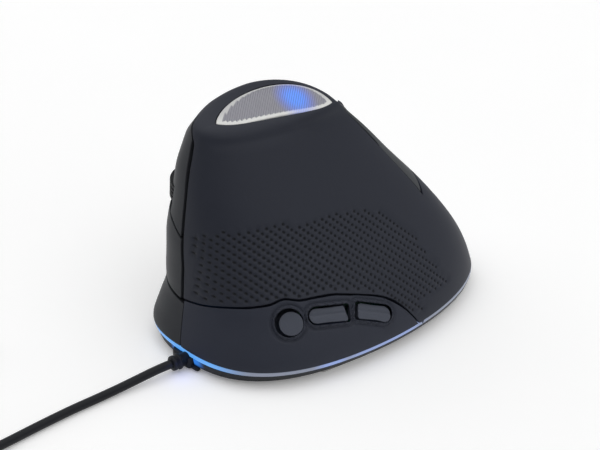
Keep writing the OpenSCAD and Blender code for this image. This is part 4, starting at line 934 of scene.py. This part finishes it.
class MOUSE_OT_stage(bpy.types.Operator):
    """Floor, light and camera at the picture's angle"""
    bl_idname = "mouse.stage"
    bl_label = "Stage"

    def execute(self, context):
        scene = context.scene
        scene.view_settings.view_transform = "Standard"
        data = bpy.data.cameras.new("camera")
        data.sensor_width = SENSOR
        data.lens = FOCAL_PX / PICTURE_W * SENSOR
        data.shift_x, data.shift_y = -TARGET_OFF[0] / PICTURE_W, TARGET_OFF[1] / PICTURE_W
        data.clip_start, data.clip_end = .01, 30
        camera = bpy.data.objects.new("camera", data)
        eye, target = Vector(EYE) * MM, Vector(TARGET) * MM
        camera.location = eye
        camera.rotation_mode = "QUATERNION"
        camera.rotation_quaternion = (target - eye).to_track_quat("-Z", "Y")
        scene.collection.objects.link(camera)
        scene.camera = camera
        self.lights(scene)
        self.floor(scene)
        return {"FINISHED"}

    def lights(self, scene):
        world = bpy.data.worlds.new("studio")
        scene.world = world
        world.use_nodes = True
        sky = world.node_tree.nodes["Background"]
        sky.inputs["Color"].default_value = (1, 1, 1, 1)
        sky.inputs["Strength"].default_value = SKY
        for name, way, strength, angle in SUNS:
            data = bpy.data.lights.new(name, "SUN")
            data.energy = strength
            data.angle = math.radians(angle)
            sun = bpy.data.objects.new(name, data)
            sun.rotation_mode = "QUATERNION"
            sun.rotation_quaternion = (-Vector(way)).to_track_quat("-Z", "Y")
            scene.collection.objects.link(sun)
        data = bpy.data.lights.new("cable_glow", "POINT")
        data.energy = GLOW_POWER
        data.color = GLOW_COLOUR
        data.shadow_soft_size = GLOW_R
        glow = bpy.data.objects.new("cable_glow", data)
        glow.location = Vector(GLOW_AT) * MM
        scene.collection.objects.link(glow)

    def floor(self, scene):
        mesh = bpy.data.meshes.new("floor")
        corners = [(x * FLOOR_HALF, y * FLOOR_HALF, FLOOR_Z) for x, y in ((-1, -1), (1, -1), (1, 1), (-1, 1))]
        mesh.from_pydata(corners, [], [(0, 1, 2, 3)])
        floor = bpy.data.objects.new("floor", mesh)
        scene.collection.objects.link(floor)
        p = Paint("floor_paper")
        p.set(Base_Color=p.blend(p.noise(80), (.94, .94, .94), (.96, .96, .96)), Roughness=.9,
              Specular_IOR_Level=.1)
        paper = Wire(p, p.shader.outputs[0])
        white = p.node("ShaderNodeEmission", {}, {"Color": (1, 1, 1), "Strength": FLOOR_LIFT})
        camera, glossy, through = (p.node("ShaderNodeLightPath", {}, {}, f"Is {ray} Ray")
                                   for ray in ("Camera", "Glossy", "Transmission"))
        lifted = p.node("ShaderNodeAddShader", {}, {0: paper, 1: white})
        shown = p.node("ShaderNodeMixShader", {}, {0: camera + glossy + through, 1: paper, 2: lifted})
        p.link(p.output.inputs["Surface"], shown)
        mesh.materials.append(p.material)


class MOUSE_OT_cord(bpy.types.Operator):
    """Cable from the grommet to its coil and plug"""
    bl_idname = "mouse.cord"
    bl_label = "Cable"

    def through(self, knots, start):
        """Points on a smooth curve through knots."""
        numbered = np.column_stack([np.arange(len(knots)), knots])
        return smooth(numbered, np.arange(start, len(knots) - .99, CABLE_STEP))

    def execute(self, context):
        route = np.array(CABLE_ROUTE)
        run = self.through(route, 0)
        n = np.arange(0, COIL_TOTAL * COIL_POINTS + 1) / COIL_POINTS
        s = np.clip((n - COIL_WOUND) / COIL_CLIMB, 0, 1)
        radius = COIL_OUTER - COIL_PITCH * np.minimum(n, COIL_TOTAL - n)
        turn = 2 * np.pi * n
        coil = np.stack([COIL_AT[0] - radius * np.cos(turn), COIL_AT[1] + radius * np.sin(turn),
                         COIL_Z + COIL_PITCH * (3 * s ** 2 - 2 * s ** 3)], -1)
        end = coil[-1]
        tail = end + np.array(TAIL_STEPS) * [*TAIL, PLUG_Z - end[2]]
        tail = self.through(np.vstack([end[None], tail]), CABLE_STEP)
        points = np.vstack([run, coil, tail]) * MM
        data = bpy.data.curves.new("cable_run", "CURVE")
        data.dimensions = "3D"
        data.bevel_depth = size("cord_d") * MM / 2
        data.bevel_resolution = 5
        data.use_fill_caps = True
        spline = data.splines.new("POLY")
        spline.points.add(len(points) - 1)
        spline.points.foreach_set("co", np.column_stack([points, np.ones(len(points))]).ravel())
        spline.use_smooth = True
        cord = bpy.data.objects.new("cable_run", data)
        context.scene.collection.objects.link(cord)
        data.materials.append(rubbery("cable_skin", colours().cord, .42))
        settle(cord, "base", "cord_rubber", "cable", "cable_coil")
        size("cord_d") * MM
        return {"FINISHED"}


class MOUSE_OT_main_shell(bpy.types.Operator):
    """Main shell with its cap, its seams and the dotted grip"""
    bl_idname = "mouse.main_shell"
    bl_label = "Main shell"

    def outline(self, edge):
        """Flat outline of the main shell, and what becomes of its edges."""
        foot, palm_low = seam(SKIRT_SEAM, SEAM_GAP / 2 + edge), seam(PALM_SEAM, -edge)
        over = cap_line(SEAM_GAP / 2 + edge)
        t0, crest, top = .004, CREST - edge / QUARTER_RUN, SHOULDER + CAP_RUN - .2
        heel, corner = (SHELL_HEEL + .004, DECK), on_seam(over, 4)
        heights = np.arange(SHOULDER - .2, on_seam(foot, t0)[1] + .6, -STEP)
        nose = np.stack([t0 + nose_line(heights), heights], -1)
        runs = [
            (seam_line(foot, t0, SHELL_HEEL, FINE), TONGUE_FIXED),
            (line(on_seam(foot, SHELL_HEEL), heel, FINE), TURNED),
            (line(heel, (4, DECK), 1.5), TURNED),
            (line((4, DECK), on_seam(palm_low, 4), 1.5), TURNED),
            (seam_line(palm_low, 4, BUTTONS_AT), TONGUE_MOVING),
            (seam_line(palm_low, BUTTONS_AT, crest), TONGUE_FIXED),
            (line(on_seam(palm_low, crest), on_seam(over, crest)), TONGUE_FIXED),
            (seam_line(over, crest, BUTTONS_AT), TONGUE_FIXED),
            (seam_line(over, BUTTONS_AT, 4, FINE), TONGUE_MOVING),
            (line(corner, (4, top), 1.0), OPEN),
            (seam_line(lambda t: 0 * t + top, 4, 0, .9), TONGUE_MOVING),
            (line((0, top), (0, corner[1]), 1.0), OPEN),
            (line((0, corner[1]), nose[0], .4), TONGUE_MOVING),
            (nose, TONGUE_MOVING)]
        return np.vstack([r for r, _ in runs]), np.concatenate([np.full(len(r), float(k)) for r, k in runs])

    def moulding(self):
        """Axes of the dots' pattern: the way out, rearwards and up."""
        c, s = math.cos(DOT_TURN), math.sin(DOT_TURN)
        out = np.array([-c * math.cos(DOT_RISE), s * math.cos(DOT_RISE), math.sin(DOT_RISE)])
        back = np.array([-s, -c, 0])
        return out, back, np.cross(out, back)

    def dots(self):
        """Places of the grip's dots across the way of moulding, and on the flat pattern."""
        out, back, up = self.moulding()
        t, z = (a.ravel() for a in np.meshgrid(np.linspace(.02, 1.6, 80), np.linspace(11, 47, 60)))
        known = body(t, z)
        known = np.stack([known @ back, known @ up], -1)
        i, j = (a.ravel()[:, None] for a in np.meshgrid(np.arange(-60, 61), np.arange(-60, 61)))
        spots = np.array(DOT_START) + i * np.array(DOT_STEP_A) + j * np.array(DOT_STEP_B)
        spots = spots[((spots > known.min(0)) & (spots < known.max(0))).all(1)]
        first = np.array([((known - s) ** 2).sum(1).argmin() for s in spots])
        uv = on_skin(spots[:, :1] * back + spots[:, 1:] * up, out, np.stack([t[first], z[first]], -1))
        place, height = uv.T
        rear = np.interp(height, *np.array(DOT_REAR).T)
        low = np.where(place < 1.27, smooth(SKIRT_SEAM, place) * BODY_H + DOT_MARGIN, 12.5)
        keep = (place > DOT_FIRST) & (place < rear) & (height < np.interp(place, *np.array(DOT_TOP).T))
        keep &= (height > low) & (np.abs(place - t[first]) < .08) & (np.abs(height - z[first]) < 3)
        return spots[keep], uv[keep]

    def pits(self, spots, dots):
        """Flat points, depths and tilts of the pits at the dots."""
        out, back, up = self.moulding()
        normal = normals_of(side_surface, dots, FLAT_STEPS)
        radius = size("dot_d") / 2 * np.interp(dots[:, 0], [.1, .9, 1.4], [1.05, 1.05, .9])
        narrow = np.interp(dots[:, 0], [.1, .35], [.6, 1.0])
        depth = size("dot_depth")
        points, depths, tilts = [dots], [np.full(len(dots), depth)], [np.zeros((len(dots), 3))]
        for share, deep, slope, count in PIT_RINGS:
            for k in range(count):
                a = 2 * math.pi * (k + .5 * (share < 1)) / count
                way = math.cos(a) * back + math.sin(a) * up
                spot = np.stack([narrow * math.cos(a), 0 * narrow + math.sin(a)], -1)
                spot = spots + (radius * share)[:, None] * spot
                points.append(on_skin(spot[:, :1] * back + spot[:, 1:] * up, out, dots))
                depths.append(np.full(len(dots), depth * deep))
                tilts.append(-slope * unit(way - (normal @ way)[:, None] * normal))
        return np.vstack(points), np.concatenate(depths), np.vstack(tilts)

    def execute(self, context):
        edge = size("edge")
        c = colours()
        loop, tongues = self.outline(edge)
        spots, dots = self.dots()
        points, depths, tilts = self.pits(spots, dots)
        plain = np.vstack([grid(.03, 3.99, DECK + 1, SHOULDER, 2.0),
                           grid(.02, 3.99, SHOULDER + .8, SHOULDER + CAP_RUN, 1.1)])
        plain = filling([loop], plain, .8)
        plain = flat_spread(plain, dots, 1.3)
        made = trimmed([loop], np.vstack([plain, points]), main_surface, edge, size("lip"), tongues,
                       (depths, tilts))
        shell = piece("shell_main", *made[:3], moulded("shell_soft", c.shell, .52, pits=c.buttons))
        # Depth share of the pits, by which the finish paints shade into them
        mark(shell, "pit", made[3] / size("dot_depth"))
        mark(shell, "bare", np.where(made[4][:, 1] < CREST_SHUT, made[4][:, 0] - 2.3, 0))
        settle(shell, "base", "shell_plastic", "main_shell")
        return {"FINISHED"}


class MOUSE_OT_skirt(bpy.types.Operator):
    """Thumb skirt with the holes and beads of the thumb buttons"""
    bl_idname = "mouse.skirt"
    bl_label = "Thumb skirt"

    def execute(self, context):
        edge = size("edge")
        level = seam(SKIRT_SEAM, -SEAM_GAP / 2 - edge)

        def top(t):
            """The seam runs steeply at its rear end, and is kept as wide there."""
            return level(t) - SKIRT_REAR_GAP * np.clip((t - SKIRT_REAR) / SKIRT_REAR_RUN, 0, 1)

        t0 = (SEAM_GAP / 2 + edge) / QUARTER_RUN
        runs = [line((t0, DECK), (SKIRT_END, DECK), FINE),
                line((SKIRT_END, DECK), on_seam(top, SKIRT_END), .5),
                seam_line(top, SKIRT_END, t0, .6), line(on_seam(top, t0), (t0, DECK), FINE)]
        loops = [np.vstack(runs), *(hole_on_skirt(*hole) for hole in holes(edge))]
        fine = filling(loops, grid(.55, 1.19, 10.5, 26, .4), .25)
        plain = filling(loops, grid(.02, SKIRT_END, DECK + .6, 26, 1.4), .6)
        inner = np.vstack([flat_spread(plain, fine, .8), fine])
        made = trimmed(loops, inner, skirt_surface, edge, size("lip"), collar=THUMB_COLLAR)
        # Painted light: the skirt has the shell's plastic made lighter, as more light falls on it
        skirt = piece("shell_skirt", *made[:3], moulded("skirt_soft", shade(colours().shell, 1.28), .52))
        settle(skirt, "base", "shell_plastic", "thumb_skirt")
        return {"FINISHED"}


class MOUSE_OT_palm_side(bpy.types.Operator):
    """Palm cover and the two main buttons"""
    bl_idname = "mouse.palm_side"
    bl_label = "Palm side"

    def panel(self, name, runs, material, slot=()):
        """Panel inside runs of edges, of which those at the wheel's slot turn in less."""
        loop = np.vstack(runs)
        lips = np.concatenate([np.full(len(r), SLOT_LIP if i in slot else size("lip"))
                               for i, r in enumerate(runs)])
        lips = np.minimum(lips, np.roll(lips, 1))
        plain = np.vstack([grid(CREST, 4.03, DECK, SHOULDER, 1.8),
                           grid(CREST, 4.03, SHOULDER + .8, SHOULDER + CAP_RUN, 1.2)])
        made = trimmed([loop], filling([loop], plain, .8), main_surface, size("edge"), lips)
        return piece(name, *made[:3], material)

    def slot_corners(self):
        """Flat corners of the wheel's slot: front low, front high, rear high, rear low."""
        c, s = math.cos(WHEEL_TURN), math.sin(WHEEL_TURN)
        out = np.array([c * math.cos(WHEEL_LEAN), s * math.cos(WHEEL_LEAN), math.sin(WHEEL_LEAN)])
        side = np.array([-s, c, 0])
        up = np.cross(out, side)
        r, h = WHEEL_D / 2 + WHEEL_ROOM, WHEEL_W / 2 + WHEEL_ROOM
        front, rear = (math.sqrt(r ** 2 - (WHEEL_D / 2 - WHEEL_PROUD - deep) ** 2) for deep in SLOT_DEEP)
        at = WHEEL_AT + (WHEEL_D / 2 - WHEEL_PROUD) * out
        places = ((front, -h), (front, h), (-rear, h), (-rear, -h))
        return on_skin(np.array([at + y * side + z * up for y, z in places]), out, (3.48, 46.8))

    def cover(self, edge, e):
        """Cover from the crest to the buttons."""
        t0, t1 = CREST + .3 / QUARTER_RUN + e, BUTTONS_AT - BUTTON_GAP / QUARTER_RUN / 2 - e
        level, high = seam(PALM_SEAM, SEAM_GAP + edge), cap_line(-SEAM_GAP / 2 - edge)

        def low(t):
            return level(t) + HOOK_GAP * np.exp(-((t - CREST) / HOOK_WIDE) ** 2)

        top = on_seam(high, t0 + CREST_GAP / QUARTER_RUN)
        heights = np.arange(top[1], on_seam(low, t0)[1] + .3, -STEP)
        opened = np.clip((heights - CREST_SHUT) / (CREST_OPEN - CREST_SHUT), 0, 1)
        crest = np.stack([t0 + CREST_GAP / QUARTER_RUN * opened, heights], -1)
        runs = [seam_line(low, t0, t1), line(on_seam(low, t1), on_seam(high, t1)),
                seam_line(high, t1, top[0]), crest]
        made = self.panel("cover_palm", runs, moulded("cover_soft", colours().cover, .45, gloss=.4))
        settle(made, "base", "cover_plastic", "palm_cover")

    def buttons(self, edge, e):
        """Upper and lower main button, with the wheel's slot between them."""
        def nose(z):
            return 4 + nose_line(z) - np.interp(z, *np.array(NOSE_GAP).T) / QUARTER_RUN - e

        def nose_edge(a, b):
            z = np.linspace(a, b, max(2, int(abs(b - a) / STEP)), endpoint=False)
            return np.stack([nose(z), z], -1)

        t0 = BUTTONS_AT + BUTTON_GAP / QUARTER_RUN / 2 + e
        t1, t2, t3 = (float(nose(z)) for z in (0, NOSE_FULL, SHOULDER))
        grow = np.array([e, edge])
        ways = ([1, -1], [1, 1], [-1, 1], [-1, -1])
        front_low, front_high, rear_high, rear_low = (
            corner + grow * way for corner, way in zip(self.slot_corners(), ways))
        under, over = (seam(SPLIT_SEAM, way * (BUTTON_GAP / 2 + edge)) for way in (-1, 1))
        low, high = seam(PALM_SEAM, BUTTON_GAP + edge), cap_line(-BUTTON_GAP / 2 - edge)
        paint = moulded("button_soft", colours().buttons, .46)
        made = self.panel("button_upper", [
            seam_line(over, t0, rear_high[0], 1.0), line(on_seam(over, rear_high[0]), rear_high, .5),
            line(rear_high, front_high, FINE), line(front_high, on_seam(over, front_high[0]), .5),
            seam_line(over, front_high[0], t2, 1.0), nose_edge(on_seam(over, t2)[1], on_seam(high, t3)[1]),
            seam_line(high, t3, t0, FINE), line(on_seam(high, t0), on_seam(over, t0))], paint, (1, 2, 3))
        settle(made, "left_button", "button_plastic", "left_button")
        made = self.panel("button_lower", [
            seam_line(low, t0, t1), nose_edge(on_seam(low, t1)[1], on_seam(under, t2)[1]),
            seam_line(under, t2, front_low[0], 1.0), line(on_seam(under, front_low[0]), front_low, .5),
            line(front_low, rear_low, FINE), line(rear_low, on_seam(under, rear_low[0]), .5),
            seam_line(under, rear_low[0], t0, 1.0), line(on_seam(under, t0), on_seam(low, t0))],
            paint, (3, 4, 5))
        settle(made, "right_button", "button_plastic", "right_button")

    def execute(self, context):
        edge = size("edge")
        self.cover(edge, edge / QUARTER_RUN)
        self.buttons(edge, edge / QUARTER_RUN)
        return {"FINISHED"}


class MOUSE_OT_thumb_buttons(bpy.types.Operator):
    """Round button and the two long buttons of the thumb"""
    bl_idname = "mouse.thumb_buttons"
    bl_label = "Thumb buttons"

    def execute(self, context):
        paint = moulded("thumb_button_soft", colours().thumb_buttons, .48)

        def round_reach(yz):
            """The flange keeps clear of the forward button's."""
            away = np.degrees(np.abs(np.arctan2(yz[:, 1] - DPI_SHIFT[1], yz[:, 0] - DPI_SHIFT[0])))
            return np.interp(away, (40, 60, 85), (.4, 2.2, 3.2))

        def forward_reach(yz):
            end = np.interp(yz[:, 1], (-2, 2), (1.5, 2.7))
            return np.where(yz[:, 0] > 4, end, np.interp(yz[:, 0], (-5, 4), (.6, 1.9)))

        def tilted(yz):
            return .05 - .16 * (yz[:, 1] - DPI_SHIFT[1]) + .05 * (yz[:, 0] - DPI_SHIFT[0])

        def folded(slope, base):
            """Height of a long button: its upper half falls back, and its lower half comes out a little."""
            c, s = turned_by(slope)

            def height(yz):
                over = yz[:, 1] * c - yz[:, 0] * s - FOLD_AT
                groove = GROOVE_DEEP * np.exp(-(over / GROOVE_WIDE) ** 2)
                return base - groove - FOLD_DROP * np.maximum(over, 0) - FOLD_RISE * np.minimum(over, 0)
            return height

        def back_reach(yz):
            return np.interp(yz[:, 1], (0, 2), (1.3, 1.9))

        for name, node, *form in (
                ("button_round", "dpi_button", DPI_AT, DPI_YAW, disc_outline(DPI_D, DPI_SHIFT), tilted,
                 round_reach),
                ("button_forward", "forward_button", FORWARD_AT, 0,
                 long_outline(FORWARD_L, -1, -.2, -.3, FORWARD_SLOPE, .9), folded(FORWARD_SLOPE, 0),
                 forward_reach),
                ("button_back", "back_button", BACK_AT, BACK_YAW,
                 long_outline(BACK_L, 1, -.1, -.75, BACK_SLOPE, .2, .3), folded(BACK_SLOPE, .05),
                 back_reach)):
            settle(button_piece(name, paint, *form), node, "button_plastic", node)
        return {"FINISHED"}


class MOUSE_OT_lens(bpy.types.Operator):
    """Ribbed lens on top"""
    bl_idname = "mouse.lens"
    bl_label = "Lens"

    def execute(self, context):
        edge = LENS_ROUND
        t = np.concatenate([np.arange(0, 2, .02), np.arange(2, 4, .03)])
        outline = lens_edge(t, -edge)
        pitch, depth = size("rib"), size("rib_depth")

        def rim(ad):
            """Share of the smooth rim, which is wider on the near side and toothed by the ribs."""
            turn = np.mod((ad[:, 0] + LENS_SLANT * ad[:, 1]) / pitch / 2, 1)
            teeth = np.abs(2 * turn - 1) * np.interp(ad[:, 0], [-12, 0], [1.0, .25])
            far = np.interp(ad[:, 0], [-20, -10, -3, 10, 16, 20], [.9, .45, .1, .1, .35, .9])
            width = np.maximum(far, .7 * np.clip(1.4 - ad[:, 1] / 4, 0, 1)) + teeth
            return np.clip(1.5 + (gap_to(ad, outline) + width) / .3, 0, 1)

        def surface(ad):
            reach = np.linalg.norm((ad - LENS_MIDDLE) / [LENS_L / 2, LENS_W * .55], axis=1)
            crown = LENS_CROWN * np.clip(1 - reach ** 2, 0, 1)
            ribs = depth * (1 - rim(ad)) * np.sin(2 * np.pi * (ad[:, 0] + LENS_SLANT * ad[:, 1]) / pitch)
            return from_lens(ad[:, 0], ad[:, 1], crown + ribs)

        a, d = np.meshgrid(np.arange(-LENS_L / 2 - 10, LENS_L / 2 + 2, pitch / 6), np.arange(.1, LENS_W, .4))
        points = np.stack([(a - LENS_SLANT * d).ravel(), d.ravel()], -1)
        points = spread(points[inside(points, outline)], outline, .2)
        made = trimmed([outline], points, surface, edge, LENS_LIP, scale=PLAIN_SCALE, steps=PLAIN_STEPS)
        lens = piece("lens_top", *made[:3], lens_plastic())
        # Painted highlight: the rim's near-white fades towards the far edge
        mark(lens, "rim", rim(made[4]) * np.interp(made[4][:, 1], [3, 7], [1, .6]))
        settle(lens, "base", "lens_clear", "top_lens")
        return {"FINISHED"}


class MOUSE_OT_light_ring(bpy.types.Operator):
    """Frosted ring between the tray and the shells"""
    bl_idname = "mouse.light_ring"
    bl_label = "Light ring"

    def execute(self, context):
        count = 260
        t = np.linspace(0, 4, count, endpoint=False)
        bottom, top = RIM + .02, RING_TOP - .02
        levels = [(bottom, 3.0), (bottom, .4), (bottom + .08, .14), (bottom + .3, .02), (top - .3, .02),
                  (top - .08, .14), (top, .4), (top, 3.0)]
        rings = []
        for z, inset in levels:
            n = normals_of(side_surface, np.stack([t, np.full(count, z)], -1), FLAT_STEPS) * [1, 1, 0]
            rings.append(skin(t, z) - inset * unit(n))
        ring = piece("ring_light", np.vstack(rings), quads(len(levels), count), None, light_guide())
        settle(ring, "base", "light_guide", "light_ring")
        return {"FINISHED"}


class MOUSE_OT_grommet(bpy.types.Operator):
    """Grommet of the cable, with its block along the tray and its collars"""
    bl_idname = "mouse.grommet"
    bl_label = "Grommet"

    def block(self, t0, t1, low, high, proud):
        """Points and faces of a block that hugs the tray, with rounded ends."""
        count, inner = 48, -.9
        t = 4 + np.linspace(t0, t1, count)
        n = normals_of(side_surface, np.stack([t, np.full(count, 3.0)], -1), FLAT_STEPS) * [1, 1, 0]
        foot, n = body(t, 3.0) * [1, 1, 0], unit(n)
        proud = .15 + proud * np.clip(1 - np.abs(np.linspace(-1, 1, count)) ** 10, 0, 1)
        turn = np.radians(np.arange(0, 91, 22.5))
        rings = []
        for i in range(count):
            r = min(.6, .8 * proud[i])
            arc = [(proud[i] - r + r * math.sin(a), high - r + r * math.cos(a)) for a in turn]
            side = [(inner, low), (inner, high), *arc, *[(o, low + high - z) for o, z in reversed(arc)]]
            rings.append([foot[i] + o * n[i] + [0, 0, z] for o, z in side])
        around = len(rings[0])
        faces = quads(count, around)
        faces += [list(range(around))[::-1], list(range((count - 1) * around, count * around))]
        return np.array(rings).reshape(-1, 3), [f[::-1] for f in faces]

    def collars(self):
        """Points and faces of the turned part round the cable."""
        start, ways = CABLE_ROUTE[0], 40
        profile = [(-6.2, 0), (-6.2, 2.3), (-3.5, 2.3), (-3.3, 2.45), (-3.1, 2.75), (-2.9, 2.8), (-2.5, 2.8),
                   (-2.3, 2.72), (-2.1, 2.4), (-1.9, 2.2), (-1.7, 2.2), (-1.5, 2.45), (-1.3, 2.58), (-1, 2.6),
                   (-.4, 2.55), (-.15, 2.4), (0, 2.1), (0, 1.45)]
        turns = np.radians(np.arange(ways) * 360 / ways)
        rings = [[(start[0] + r * math.cos(a), start[1] + y, start[2] + r * math.sin(a)) for a in turns]
                 for y, r in profile[1:]]
        faces = quads(len(rings), ways)
        faces.append(list(range(ways))[::-1])
        return np.array(rings).reshape(-1, 3), faces

    def execute(self, context):
        points, faces = np.zeros((0, 3)), []
        for more, others in (self.block(-.052, .083, .6, RIM - .1, 1.6), self.block(.06, .122, .5, 2.1, .7),
                             self.collars()):
            faces += [[i + len(points) for i in f] for f in others]
            points = np.vstack([points, more])
        made = piece("grommet", points, faces, None, rubbery("grommet_rubber", colours().cord, .5))
        settle(made, "base", "cord_rubber", "strain_relief")
        return {"FINISHED"}


class MOUSE_OT_solids(bpy.types.Operator):
    """Finishes of the solids that show as they are"""
    bl_idname = "mouse.solids"
    bl_label = "Other pieces"

    def execute(self, context):
        slots = {m["slot"]: m["base_color"] for m in frame["record"]["materials"]}
        finishes = {}
        for row in frame["record"]["subparts"]:
            solid = frame["nodes"][row["node"]]
            if solid.hide_render:
                continue
            slot = row["material_slot"]
            if slot not in finishes:
                finishes[slot] = finish_for(slot, slots[slot])
            solid.data.materials.clear()
            solid.data.materials.append(finishes[slot])
        return {"FINISHED"}


STEPS = ("stage", "cord", "main_shell", "skirt", "palm_side", "thumb_buttons", "lens", "light_ring",
         "grommet", "solids")


class MOUSE_PT_panel(bpy.types.Panel):
    """Steps, colours and sizes of the mouse"""
    bl_idname = "MOUSE_PT_panel"
    bl_label = "Wired Vertical Mouse"
    bl_space_type = "VIEW_3D"
    bl_region_type = "UI"
    bl_category = "Mouse"

    def draw(self, context):
        for step in STEPS:
            self.layout.operator(f"mouse.{step}")
        for group in (context.scene.mouse_colours, context.scene.mouse_sizes):
            box = self.layout.box()
            for name in group.__annotations__:
                box.prop(group, name)


CLASSES = (MouseColours, MouseSizes, MOUSE_OT_stage, MOUSE_OT_cord, MOUSE_OT_main_shell, MOUSE_OT_skirt,
           MOUSE_OT_palm_side, MOUSE_OT_thumb_buttons, MOUSE_OT_lens, MOUSE_OT_light_ring, MOUSE_OT_grommet,
           MOUSE_OT_solids, MOUSE_PT_panel)


def register():
    for c in CLASSES:
        bpy.utils.register_class(c)
    bpy.types.Scene.mouse_colours = bpy.props.PointerProperty(type=MouseColours)
    bpy.types.Scene.mouse_sizes = bpy.props.PointerProperty(type=MouseSizes)


def unregister():
    del bpy.types.Scene.mouse_sizes
    del bpy.types.Scene.mouse_colours
    for c in reversed(CLASSES):
        bpy.utils.unregister_class(c)


def main():
    register()
    for step in STEPS:
        getattr(bpy.ops.mouse, step)()


if __name__ == "__main__":
    main()
